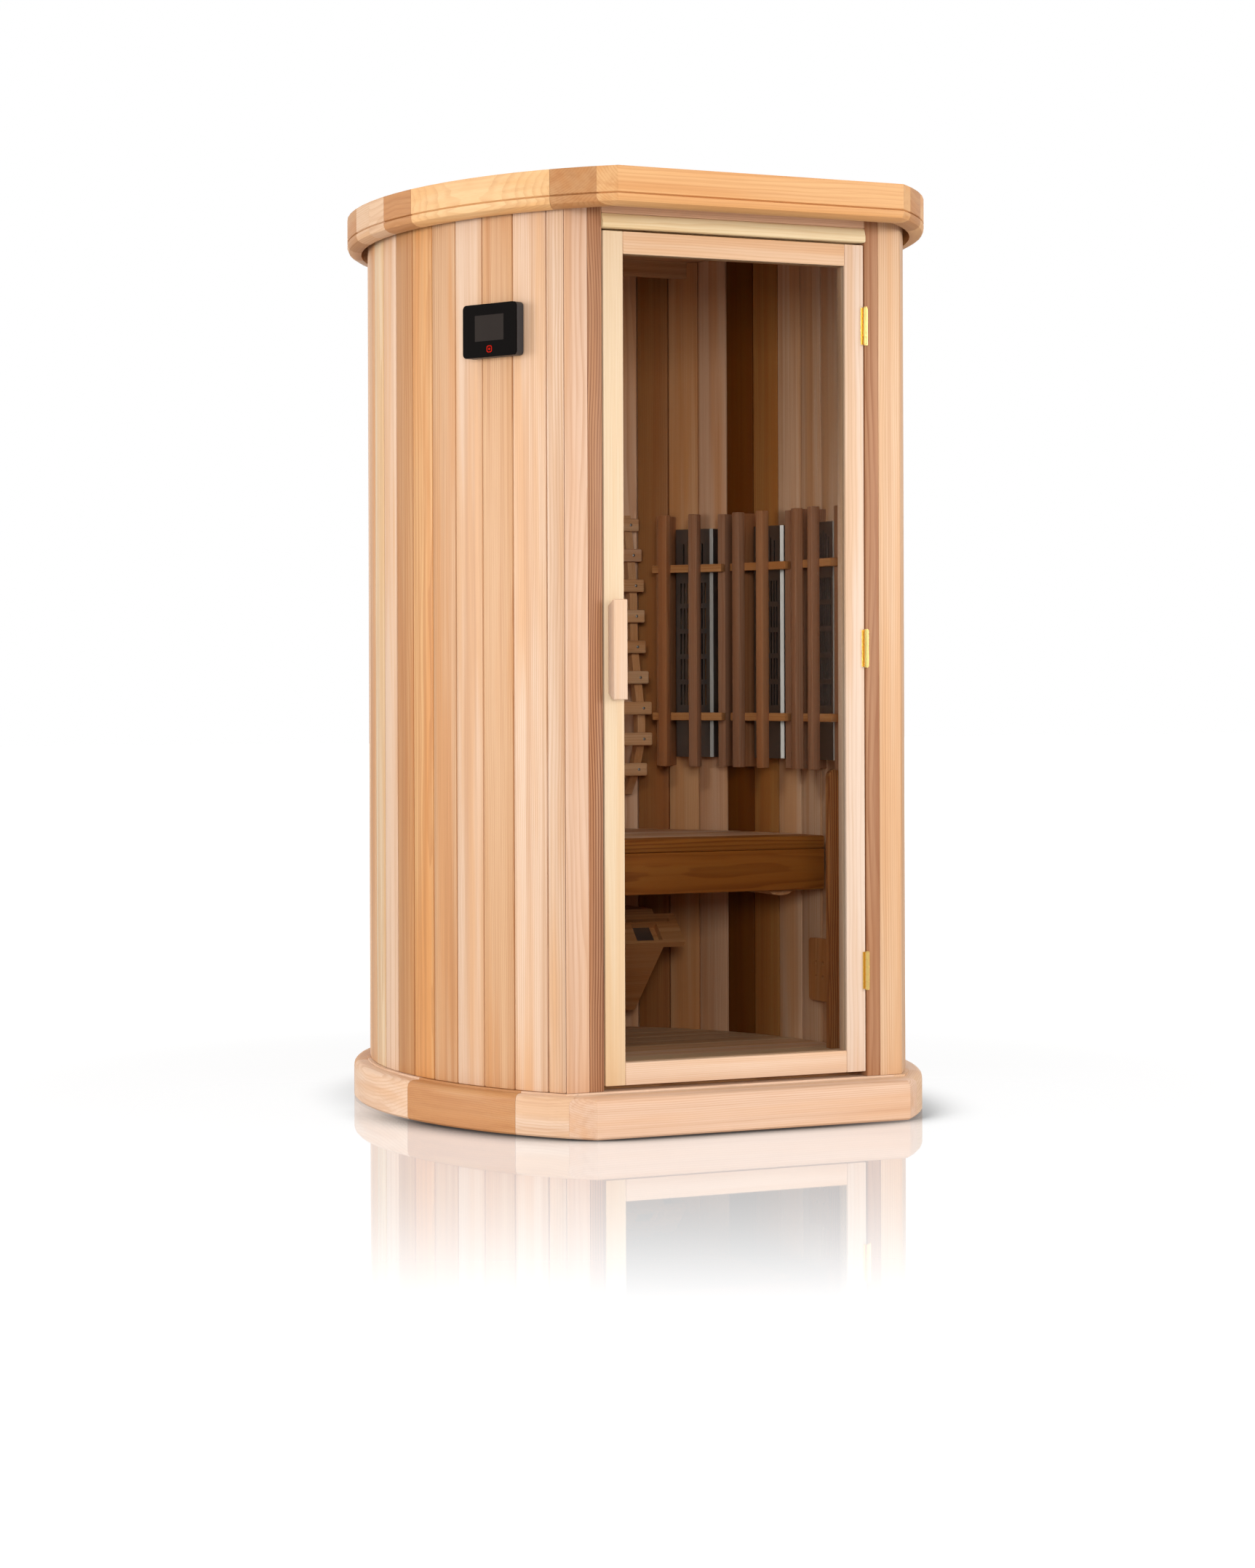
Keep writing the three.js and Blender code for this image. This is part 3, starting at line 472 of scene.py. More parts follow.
@dataclass(frozen=True)
class Polished:
    """Metal, plastic or opaque glass with fine marks in its gloss."""

    name: str
    paint: str
    roughness: float
    metallic: float = 0.0
    smudge: float = 0.08
    brush: float = 0.0
    specular: float = 0.5
    uneven: float = 0.86
    uneven_scale: Triple = (22.0, 22.0, 5.0)
    uneven_detail: float = 3.0
    bump: Pair = (0.06, 0.0002)

    def material(self) -> bpy.types.Material:
        """Builds the material.

        Returns:
            The finished material.
        """
        material, g = new_material(self.name)
        place = g.add("ShaderNodeTexCoord").outputs["Object"]
        values = {
            "Place": place,
            "Roughness": self.roughness,
            "Smudge": self.smudge,
            "Brush": self.brush,
        }
        marks = g.add("ShaderNodeGroup", values, node_tree=HANDLING_MARKS).outputs
        shade = g.stretched_noise(place, self.uneven_scale, self.uneven_detail)
        light = colour(self.paint)
        inputs = {
            "Base Color": g.mix(shade, dimmed(light, self.uneven), light),
            "Roughness": marks["Roughness"],
            "Normal": g.bump(marks["Height"], self.bump),
            "Metallic": self.metallic,
            "Specular IOR Level": self.specular,
        }
        g.surface(g.principled(inputs))
        return material


@dataclass(frozen=True)
class TintedGlass:
    """Clear glass with a bronze tint that lets lamp light and part of soft light through."""

    name: str
    paint: str
    soft_pass: float
    bend: float = 1.04

    def material(self) -> bpy.types.Material:
        """Builds the material.

        Returns:
            The finished material.
        """
        material, g = new_material(self.name)
        inputs = {
            "Base Color": colour(self.paint),
            "Roughness": 0.0,
            "IOR": self.bend,
            "Transmission Weight": 1.0,
        }
        pane = g.principled(inputs)
        path = g.add("ShaderNodeLightPath").outputs
        passed = g.minus(1.0, g.times(path["Is Diffuse Ray"], 1.0 - self.soft_pass))
        clear = g.flow("ShaderNodeBsdfTransparent", {"Color": g.grey(passed)})
        unseen = g.math("MAXIMUM", path["Is Shadow Ray"], path["Is Diffuse Ray"])
        g.surface(g.flow("ShaderNodeMixShader", {0: unseen, 1: pane, 2: clear}))
        return material


@dataclass(frozen=True)
class Lit:
    """A lit mark on the control panel."""

    name: str
    paint: str
    strength: float

    def material(self) -> bpy.types.Material:
        """Builds the material.

        Returns:
            The finished material.
        """
        material, g = new_material(self.name)
        inputs = {
            "Base Color": UNLIT,
            "Specular IOR Level": 0.0,
            "Emission Color": colour(self.paint),
            "Emission Strength": self.strength,
        }
        g.surface(g.principled(inputs))
        return material


Recipe = Cedar | Polished | TintedGlass | Lit
MADE: dict[str, bpy.types.Material] = {}


class Finish(Enum):
    """Every finish on the cabin, with the record's slot that it belongs to."""

    WALL = (
        "cedar_wall",
        Cedar("cedar_wall", ring_strength=0.7, streak_strength=0.75, blush_strength=0.8),
    )
    FRONT = ("cedar_front", Cedar("cedar_front", ring_strength=0.6))
    JAMB = ("cedar_jamb", Cedar("cedar_jamb", 0.0052, 0.95, 0.5, line="9a6b45", sway=0.05))
    JAMB_PLAIN = ("cedar_jamb", Cedar("cedar_jamb_plain", 0.004, 0.6, 0.5, line="c39c76"))
    DOOR = ("cedar_door", Cedar("cedar_door", 0.003, 0.5, 0.25, line="e2c9ae", sway=0.012))
    CROWN = ("cedar_crown", Cedar("cedar_crown", ring_strength=0.5, sway=0.022))
    BASE = ("cedar_base", Cedar("cedar_base", ring_strength=0.5, sway=0.022))
    FLOOR = ("cedar_floor", Cedar("cedar_floor", roughness=0.6))
    BENCH = ("cedar_bench", Cedar("cedar_bench", 0.0036, 0.8, 0.5, line="bd9468"))
    GUARD = ("cedar_guard", Cedar("cedar_guard", 0.0036, 0.6, 0.4, line="c9a57f"))
    STAINLESS = ("stainless", Polished("stainless", "96989b", 0.44, 1.0, 0.1, 0.12))
    BRASS = ("brass", Polished("brass", "f0cd7c", 0.22, 1.0, 0.12, 0.1))
    CERAMIC = ("stainless", Polished("element_ceramic", "2a2725", 0.7))
    GLASS = ("tinted_glass", TintedGlass("tinted_glass", "f2ebe0", 0.4))
    BLACK = ("black_glass", Polished("black_glass", "0d0a09", 0.12, smudge=0.04, specular=0.005))
    SCREEN = (
        "black_glass",
        Polished("control_screen", "312b28", 0.3, smudge=0.05, specular=0.005),
    )
    ICON = ("black_glass", Lit("control_icon", "d62414", 0.95))
    PLASTIC = ("dark_plastic", Polished("dark_plastic", "333234", 0.45, smudge=0.1, specular=0.3))

    def __init__(self, slot: str, recipe: Recipe) -> None:
        """Keeps the record's slot and the recipe for the material."""
        self.slot = slot
        self.recipe = recipe

    def material(self) -> bpy.types.Material:
        """Builds the finish's material when it is first asked for.

        Returns:
            The finish's one material.
        """
        if self.name not in MADE:
            MADE[self.name] = self.recipe.material()
        return MADE[self.name]


def place_piece(mesh: Mesh, name: str, finish: Finish, body: str, nodes: Sequence[str]) -> None:
    """Makes a finished mesh a piece of the cabin.

    Args:
        mesh: The mesh, in place in the cabin's frame.
        name: The piece's name.
        finish: Its finish.
        body: The body that it moves with.
        nodes: The solids that it stands for.
    """
    mesh.name = name
    mesh.materials.clear()
    mesh.materials.append(finish.material())
    piece = bpy.data.objects.new(name, mesh)
    bpy.context.scene.collection.objects.link(piece)
    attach(piece, body)
    if nodes:
        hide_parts(*nodes)
    log.info("%s: %d faces", name, len(mesh.polygons))


SHARP_EDGE = 0.5
SMOOTH_EDGE = 0.55
ROUND_PROFILE = 0.5
MERGE_REACH = 1e-5
FLAT_ANGLE = 0.01
CUT_REACH = 1e-6


def face_outwards(shape: Shape) -> None:
    """Turns the faces of a closed shape outwards."""
    bmesh.ops.recalc_face_normals(shape, faces=shape.faces)


def plain_mesh(shape: Shape, name: str) -> Mesh:
    """Turns a shape into a mesh.

    Args:
        shape: The shape, which is used up.
        name: The mesh's name.

    Returns:
        The mesh, without a finish.
    """
    mesh = bpy.data.meshes.new(name)
    shape.to_mesh(mesh)
    shape.free()
    return mesh


def ease_edges(shape: Shape, width: float, steps: int = 2) -> None:
    """Rounds the sharp edges of a closed shape.

    Args:
        shape: The shape to change.
        width: Width of the rounding.
        steps: Faces across the rounding.
    """
    face_outwards(shape)
    inner = [e for e in shape.edges if len(e.link_faces) == 2]
    sharp = [e for e in inner if e.calc_face_angle(0.0) > SHARP_EDGE]
    if width > 0 and sharp:
        bmesh.ops.bevel(
            shape,
            geom=sharp,
            offset=width,
            segments=steps,
            profile=ROUND_PROFILE,
            affect="EDGES",
            clamp_overlap=True,
        )


def smooth_shade(mesh: Mesh) -> None:
    """Shades a mesh smooth but for its sharp edges."""
    mesh.polygons.foreach_set("use_smooth", [True] * len(mesh.polygons))
    mesh.set_sharp_from_angle(angle=SMOOTH_EDGE)


def join_rings(
    shape: Shape, first: Sequence[bmesh.types.BMVert], second: Sequence[bmesh.types.BMVert]
) -> None:
    """Joins two rings of as many points by a row of faces.

    Args:
        shape: The shape that the rings belong to.
        first: The points of one ring, in order.
        second: The points of the other ring.
    """
    for i, corner in enumerate(first):
        j = (i + 1) % len(first)
        shape.faces.new((corner, first[j], second[j], second[i]))


def prism_shape(outline: Sequence[Vector], rise: Vector) -> Shape:
    """Makes a closed prism.

    Args:
        outline: A flat closed outline.
        rise: The way it is drawn out.

    Returns:
        The prism.
    """
    shape = bmesh.new()
    low = [shape.verts.new(p) for p in outline]
    high = [shape.verts.new(p + rise) for p in outline]
    shape.faces.new(low)
    shape.faces.new(high)
    join_rings(shape, low, high)
    return shape


def box_outline(low: Sequence[float], high: Sequence[float]) -> list[Vector]:
    """The foot of a block between its lowest and its highest corner."""
    corners = ((low[0], low[1]), (high[0], low[1]), (high[0], high[1]), (low[0], high[1]))
    return [Vector((x, y, low[2])) for x, y in corners]


def rounded_outline(width: float, height: float, radius: float, rise: float) -> list[Vector]:
    """Draws a rectangle with round corners.

    Args:
        width: Its full width.
        height: Its full height.
        radius: Radius of its corners.
        rise: How far its middle lies above the middle of the panel.

    Returns:
        The outline, from the right side round by the top.
    """
    steps = 4
    points = []
    for x, y, start in ((1, 1, 0.0), (-1, 1, 90.0), (-1, -1, 180.0), (1, -1, 270.0)):
        for step in range(steps + 1):
            angle = math.radians(start + step * 90.0 / steps)
            across = x * (width / 2 - radius) + radius * math.cos(angle)
            up = y * (height / 2 - radius) + radius * math.sin(angle)
            points.append(Vector((across, up + rise, 0.0)))
    return points


def solid_shape(node: str) -> Shape:
    """Copies the shape of one of the solids.

    Args:
        node: The solid's name.

    Returns:
        The shape, with its flat faces whole.
    """
    shape = bmesh.new()
    shape.from_mesh(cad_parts[node].data)
    bmesh.ops.remove_doubles(shape, verts=shape.verts, dist=MERGE_REACH)
    bmesh.ops.dissolve_limit(shape, angle_limit=FLAT_ANGLE, verts=shape.verts, edges=shape.edges)
    return shape


def add_shape(whole: Shape, extra: Shape) -> None:
    """Adds one shape to another.

    Args:
        whole: The shape that grows.
        extra: The shape that is added and used up.
    """
    place = {v: whole.verts.new(v.co) for v in extra.verts}
    for face in extra.faces:
        whole.faces.new([place[v] for v in face.verts])
    extra.free()


def cut(shape: Shape, point: Vector, normal: Vector) -> None:
    """Cuts off what lies on the normal's side of a plane and closes the cut.

    Args:
        shape: The closed shape to cut.
        point: A point on the plane.
        normal: The side that goes.
    """
    bmesh.ops.bisect_plane(
        shape,
        geom=shape.verts[:] + shape.edges[:] + shape.faces[:],
        dist=CUT_REACH,
        plane_co=point,
        plane_no=normal,
        clear_outer=True,
    )
    rim = [e for e in shape.edges if len(e.link_faces) == 1]
    if rim:
        bmesh.ops.holes_fill(shape, edges=rim, sides=0)


def islands(shape: Shape) -> list[tuple[list[Vector], Faces]]:
    """Takes a shape apart and uses it up.

    Args:
        shape: The shape, made of closed bodies that don't touch.

    Returns:
        The points and faces of each body.
    """
    shape.verts.index_update()
    shape.faces.index_update()
    bodies = []
    found: set[int] = set()
    for start in shape.verts:
        if start.index in found:
            continue
        found.add(start.index)
        body = [start]
        for vertex in body:
            for edge in vertex.link_edges:
                other = edge.other_vert(vertex)
                if other.index not in found:
                    found.add(other.index)
                    body.append(other)
        place = {vertex.index: i for i, vertex in enumerate(body)}
        faces = {face for vertex in body for face in vertex.link_faces}
        order = sorted(faces, key=lambda face: face.index)
        polygons = [[place[v.index] for v in face.verts] for face in order]
        bodies.append(([v.co.copy() for v in body], polygons))
    shape.free()
    return bodies


class Timber:
    """Boards gathered into one mesh, each with its own tint and its own run of grain."""

    START = 20.0
    PITH = (0.05, 0.22)
    SHADE = (0.95, 1.03)
    STEEP = 0.7

    def __init__(self, seed: int) -> None:
        """Starts with no boards.

        Args:
            seed: Fixes the grain of every board.
        """
        self.random = Random(seed)
        self.points: list[Vector] = []
        self.faces: Faces = []
        self.grain: list[Vector] = []
        self.tint: list[Colour] = []

    def add(self, shape: Shape, axis: Vector, tint: Colour, ease: float) -> None:
        """Eases a board's edges and gives it grain.

        Args:
            shape: The board, which is used up.
            axis: The way its grain runs.
            tint: Its colour.
            ease: Rounding of its edges.
        """
        ease_edges(shape, ease)
        shape.verts.index_update()
        points = [v.co.copy() for v in shape.verts]
        faces = [[v.index for v in face.verts] for face in shape.faces]
        self.take(points, faces, axis, tint)
        shape.free()

    def take(self, points: list[Vector], faces: Faces, axis: Vector, tint: Colour) -> None:
        """Keeps a board and lays its grain along an axis.

        Args:
            points: The board's points.
            faces: Its faces, by the points' numbers.
            axis: The way its grain runs.
            tint: Its colour.
        """
        along = axis.normalized()
        across = along.cross(BACK if abs(along.y) < self.STEEP else RIGHT).normalized()
        across = Matrix.Rotation(self.random.uniform(0, 2 * math.pi), 3, along) @ across
        deep = along.cross(across)
        start = self.random.uniform(-self.START, self.START)
        pith = self.random.uniform(*self.PITH)
        shaded = dimmed(tint, self.random.uniform(*self.SHADE))
        middle = sum(points, Vector()) / len(points)
        first = len(self.points)
        for p in points:
            rest = p - middle
            place = (rest.dot(along) + start, rest.dot(across) + pith, rest.dot(deep))
            self.grain.append(Vector(place))
            self.tint.append(shaded)
        self.points.extend(points)
        self.faces.extend([[i + first for i in face] for face in faces])

    def block(
        self,
        low: Triple,
        high: Triple,
        axis: Vector,
        tint: Colour,
        ease: float,
        place: Matrix,
    ) -> None:
        """Adds a plain board between two corners.

        Args:
            low: Its lowest corner.
            high: Its highest corner.
            axis: The way its grain runs, in the cabin's frame.
            tint: Its colour.
            ease: Rounding of its edges.
            place: Where the corners' own frame stands.
        """
        shape = prism_shape(box_outline(low, high), UP * (high[2] - low[2]))
        shape.transform(place)
        self.add(shape, axis, tint, ease)

    def piece(self, name: str, finish: Finish, nodes: Sequence[str], body: str = CABIN) -> None:
        """Makes the gathered boards one piece of the cabin.

        Args:
            name: The piece's name.
            finish: Its finish.
            nodes: The solids that it stands for.
            body: The body that it moves with.
        """
        mesh = bpy.data.meshes.new(name)
        mesh.from_pydata(self.points, [], self.faces)
        grain = mesh.attributes.new("grain", "FLOAT_VECTOR", "POINT")
        grain.data.foreach_set("vector", [x for v in self.grain for x in v])
        tint = mesh.attributes.new("tint", "FLOAT_COLOR", "POINT")
        tint.data.foreach_set("color", [x for t in self.tint for x in t])
        smooth_shade(mesh)
        place_piece(mesh, name, finish, body, nodes)


@dataclass(frozen=True)
class Board:
    """A board with the shape of one of the solids."""

    node: str
    axis: Vector
    tint: Colour
    finish: Finish
    ease: float = 0.0

    def build(self, name: str, seed: int, body: str = CABIN) -> None:
        """Makes the board a piece of its own.

        Args:
            name: The piece's name.
            seed: Fixes its grain.
            body: The body that it moves with.
        """
        timber = Timber(seed)
        timber.add(solid_shape(self.node), self.axis, self.tint, self.ease)
        timber.piece(name, self.finish, [self.node], body)


def build_boards(boards: Iterable[Board], seed: int, body: str = CABIN) -> None:
    """Builds boards one by one, each named for its solid.

    Args:
        boards: The boards.
        seed: Seed of the first board's grain.
        body: The body that they move with.
    """
    for number, board in enumerate(boards):
        board.build(f"{board.node}_timber", seed + number, body)


def dress(node: str, finish: Finish) -> None:
    """Gives one of the solids, whose shape stays, its finish.

    Args:
        node: The solid's name.
        finish: Its finish.
    """
    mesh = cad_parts[node].data
    mesh.materials.clear()
    mesh.materials.append(finish.material())
    log.info("%s: dressed in place", node)


@dataclass
class Oval:
    """The cabin's plan: an ellipse cut off straight at the door wall, and its staves."""

    half_width: float = 0.5435
    half_depth: float = 0.7115
    front: float = 0.5075345
    shift: float = -0.0607327
    wall: float = 0.035
    staves: int = 18
    steps: int = 3000
    table: list[Pair] = field(default_factory=list)

    def __post_init__(self) -> None:
        """Measures the wall's line from the middle of the back to the right corner."""
        total = 0.0
        start = math.pi / 2
        end = -math.asin(self.front / self.half_depth)
        last = self.flat(start)
        self.table.append((0.0, start))
        for step in range(1, self.steps + 1):
            angle = start + (end - start) * step / self.steps
            here = self.flat(angle)
            total += (here - last).length
            last = here
            self.table.append((total, angle))

    @property
    def half_wall(self) -> float:
        """Length of the wall from the middle of the back to a front corner."""
        return self.table[-1][0]

    @property
    def pitch(self) -> float:
        """Width of a stave, of which the last one on each side is cut to a half."""
        return self.half_wall / (self.staves + 0.5)

    @property
    def centre(self) -> Vector:
        """The ellipse's centre in plan."""
        return Vector((0.0, self.shift, 0.0))

    def flat(self, angle: float) -> Vector:
        """A point in plan on the wall's outer face."""
        x, y = self.half_width * math.cos(angle), self.half_depth * math.sin(angle)
        return Vector((x, y + self.shift, 0.0))

    def angle_at(self, distance: float) -> float:
        """Finds the ellipse's angle at a distance along the wall.

        Args:
            distance: From the middle of the back, positive to the right.

        Returns:
            The angle in radians.
        """
        reach = abs(distance)
        low, high = 0, self.steps
        while high - low > 1:
            middle = (low + high) // 2
            low, high = (middle, high) if self.table[middle][0] <= reach else (low, middle)
        (d0, a0), (d1, a1) = self.table[low], self.table[high]
        angle = a0 + (a1 - a0) * (reach - d0) / (d1 - d0)
        return angle if distance >= 0 else math.pi - angle

    def inward(self, angle: float) -> Vector:
        """The wall's normal into the room."""
        x, y = math.cos(angle) / self.half_width, math.sin(angle) / self.half_depth
        return -Vector((x, y, 0.0)).normalized()

    def edge(self, distance: float, depth: float) -> Vector:
        """A point in plan at a distance along the wall and a depth behind its outer face."""
        angle = self.angle_at(distance)
        return self.flat(angle) + self.inward(angle) * depth

    def inner_place(self, distance: float) -> Matrix:
        """Finds a place on the wall's inner face.

        Args:
            distance: From the middle of the back, positive to the right.

        Returns:
            A frame there, X along the wall and Y into the room.
        """
        inward = self.inward(self.angle_at(distance))
        turn = Matrix.Rotation(math.atan2(-inward.x, inward.y), 4, "Z")
        return Matrix.Translation(self.edge(distance, self.wall)) @ turn

    def half_room(self, y: float, gap: float) -> float:
        """Half the room's clear width at a depth behind the centre, less a gap."""
        share = y / (self.half_depth - self.wall - gap)
        return (self.half_width - self.wall - gap) * math.sqrt(max(0.0, 1 - share * share))


OVAL = Oval()


def run_tree(source: Mesh, tree: bpy.types.NodeTree, values: dict[str, object]) -> Mesh:
    """Runs a geometry tree over a mesh.

    Args:
        source: The mesh that the tree starts from.
        tree: The tree.
        values: Values of the tree's named inputs.

    Returns:
        A new plain mesh.
    """
    carrier = bpy.data.objects.new("carrier", source)
    bpy.context.scene.collection.objects.link(carrier)
    modifier = carrier.modifiers.new("tree", "NODES")
    modifier.node_group = tree
    for item in tree.interface.items_tree:
        if item.item_type == "SOCKET" and item.in_out == "INPUT" and item.name in values:
            modifier[item.identifier] = values[item.name]
    bpy.context.view_layer.update()
    graph = bpy.context.evaluated_depsgraph_get()
    made = bpy.data.meshes.new_from_object(carrier.evaluated_get(graph), depsgraph=graph)
    bpy.data.objects.remove(carrier)
    return made


class GeometryGraph(Graph):
    """A geometry tree that ends in one finish."""

    def __init__(self, name: str, inputs: dict[str, str]) -> None:
        """Starts a tree with named inputs.

        Args:
            name: The tree's name.
            inputs: Names of its inputs, besides the geometry and the finish, to socket types.
        """
        tree = bpy.data.node_groups.new(name, "GeometryNodeTree")
        geometry = {"Geometry": "NodeSocketGeometry"}
        sockets = geometry | inputs | {"Finish": "NodeSocketMaterial"}
        for label, kind in sockets.items():
            tree.interface.new_socket(name=label, in_out="INPUT", socket_type=kind)
        tree.interface.new_socket(
            name="Geometry", in_out="OUTPUT", socket_type="NodeSocketGeometry"
        )
        super().__init__(tree)
        self.given = self.add("NodeGroupInput").outputs

    def copies(self, points: Socket, piece: Socket, **inputs: Socket) -> Socket:
        """Sets a copy of a piece on each point and returns the copies."""
        values = {"Points": points, "Instance": piece} | inputs
        return self.flow("GeometryNodeInstanceOnPoints", values)

    def row(self, count: Socket, step: Socket, **inputs: object) -> Socket:
        """Lays a row of points a step apart and returns it."""
        values = {"Count": count, "Offset": step} | inputs
        return self.flow("GeometryNodeMeshLine", values, mode="OFFSET")

    def realized(self, copies: Socket) -> Socket:
        """Makes copies real and returns their mesh."""
        return self.flow("GeometryNodeRealizeInstances", {"Geometry": copies})

    def finish(self, geometry: Socket) -> bpy.types.NodeTree:
        """Ends the tree with its finish.

        Args:
            geometry: What the tree has made.

        Returns:
            The finished tree.
        """
        inputs = {"Geometry": geometry, "Material": self.given["Finish"]}
        dressed = self.flow("GeometryNodeSetMaterial", inputs)
        self.add("NodeGroupOutput", {"Geometry": dressed})
        return self.tree


def row_tree() -> bpy.types.NodeTree:
    """Builds the tree that sets a copy of one piece on each point, turned by its own angles.

    Returns:
        The tree, which also numbers the copies.
    """
    g = GeometryGraph("row_of_pieces", {"Piece": "NodeSocketObject"})
    info = g.add("GeometryNodeObjectInfo", {"Object": g.given["Piece"]})
    turn = g.add("GeometryNodeInputNamedAttribute", {"Name": "turn"}, data_type="FLOAT_VECTOR")
    points = g.flow("GeometryNodeMeshToPoints", {"Mesh": g.given["Geometry"]})
    copies = g.copies(points, info.outputs["Geometry"], Rotation=turn.outputs["Attribute"])
    number = g.flow("GeometryNodeInputIndex")
    numbered = g.flow(
        "GeometryNodeStoreNamedAttribute",
        {"Geometry": copies, "Name": "board", "Value": number},
        data_type="INT",
        domain="INSTANCE",
    )
    return g.finish(g.realized(numbered))


def slot_tree() -> bpy.types.NodeTree:
    """Builds the tree that cuts rows of upright slots through a sheet.

    Returns:
        The tree, which cuts from the first slot of the lowest row on.
    """
    sizes = ("Slot Width", "Slot Height", "Slot Depth", "Pitch", "Row Pitch")
    inputs = {label: "NodeSocketFloat" for label in sizes}
    inputs |= {"Columns": "NodeSocketInt", "Rows": "NodeSocketInt", "Start": "NodeSocketVector"}
    g = GeometryGraph("slotted_sheet", inputs)
    given = g.given
    size = g.flow(
        "ShaderNodeCombineXYZ",
        {"X": given["Slot Width"], "Y": given["Slot Depth"], "Z": given["Slot Height"]},
    )
    slot = g.flow("GeometryNodeMeshCube", {"Size": size})
    across = g.flow("ShaderNodeCombineXYZ", {"X": given["Pitch"]})
    upward = g.flow("ShaderNodeCombineXYZ", {"Z": given["Row Pitch"]})
    slots = g.copies(g.row(given["Columns"], across), slot)
    rows = g.row(given["Rows"], upward, **{"Start Location": given["Start"]})
    cutter = g.realized(g.copies(rows, slots))
    cut_sheet = g.flow(
        "GeometryNodeMeshBoolean",
        {"Mesh 1": given["Geometry"], "Mesh 2": cutter},
        operation="DIFFERENCE",
        solver="EXACT",
    )
    return g.finish(cut_sheet)


ROW_TREE = row_tree()
SLOT_TREE = slot_tree()


def row_of(shape: Shape, places: Sequence[Matrix], finish: Finish) -> Mesh:
    """Sets a copy of one shape at each place.

    Args:
        shape: The shape, which is used up.
        places: Where the copies stand.
        finish: Their finish.

    Returns:
        One mesh whose points carry the number of their copy.
    """
    pattern = bpy.data.objects.new("pattern", plain_mesh(shape, "model"))
    bpy.context.scene.collection.objects.link(pattern)
    points = bpy.data.meshes.new("points")
    points.from_pydata([m.to_translation() for m in places], [], [])
    turn = points.attributes.new("turn", "FLOAT_VECTOR", "POINT")
    turn.data.foreach_set("vector", [a for m in places for a in m.to_euler()])
    made = run_tree(points, ROW_TREE, {"Piece": pattern, "Finish": finish.material()})
    bpy.data.objects.remove(pattern)
    return made


def split_rows(mesh: Mesh) -> list[tuple[list[Vector], Faces]]:
    """Takes a numbered row of copies apart.

    Args:
        mesh: The row, as row_of makes it.

    Returns:
        The points and faces of each copy.
    """
    owner = [int(d.value) for d in mesh.attributes["board"].data]
    boards: dict[int, tuple[list[Vector], Faces]] = {}
    index: dict[int, int] = {}
    for vertex in mesh.vertices:
        points, _ = boards.setdefault(owner[vertex.index], ([], []))
        index[vertex.index] = len(points)
        points.append(vertex.co.copy())
    for polygon in mesh.polygons:
        first = polygon.vertices[0]
        boards[owner[first]][1].append([index[v] for v in polygon.vertices])
    return [boards[number] for number in sorted(boards)]


@dataclass(frozen=True)
class Screw:
    """A domed screw head with a cross recess, facing +Z, its profile in shares of its radius."""

    radius: float
    sides: int = 12
    profile: tuple[Pair, ...] = ((1.0, -0.3), (1.0, 0.0), (0.86, 0.22), (0.55, 0.36), (0.3, 0.4))
    pinch: float = 0.55
    arm_every: int = 3
    recess: float = 0.25

    def ring(self, shape: Shape, row: int) -> list[bmesh.types.BMVert]:
        """Lays one ring of the head, the last one pinched to the shape of the recess.

        Args:
            shape: The head under construction.
            row: The profile's row.

        Returns:
            The ring's points.
        """
        share, rise = self.profile[row]
        inner = row == len(self.profile) - 1
        points = []
        for step in range(self.sides):
            angle = 2 * math.pi * step / self.sides
            pinch = self.pinch if inner and step % self.arm_every else 1.0
            reach = self.radius * share * pinch
            place = (reach * math.cos(angle), reach * math.sin(angle), self.radius * rise)
            points.append(shape.verts.new(place))
        return points

    def shape(self) -> Shape:
        """Makes the head.

        Returns:
            The closed head.
        """
        shape = bmesh.new()
        rings = [self.ring(shape, row) for row in range(len(self.profile))]
        for first, second in zip(rings, rings[1:]):
            join_rings(shape, first, second)
        shape.faces.new(list(reversed(rings[0])))
        drop = UP * (self.radius * self.recess)
        floor = [shape.verts.new(v.co - drop) for v in rings[-1]]
        join_rings(shape, rings[-1], floor)
        shape.faces.new(floor)
        face_outwards(shape)
        return shape

    def drive(self, name: str, places: Sequence[Matrix], finish: Finish) -> None:
        """Drives a screw at each place, its head along the place's Z axis.

        Args:
            name: The piece's name.
            places: Where the screws stand.
            finish: Their finish.
        """
        mesh = row_of(self.shape(), places, finish)
        smooth_shade(mesh)
        place_piece(mesh, name, finish, CABIN, [])


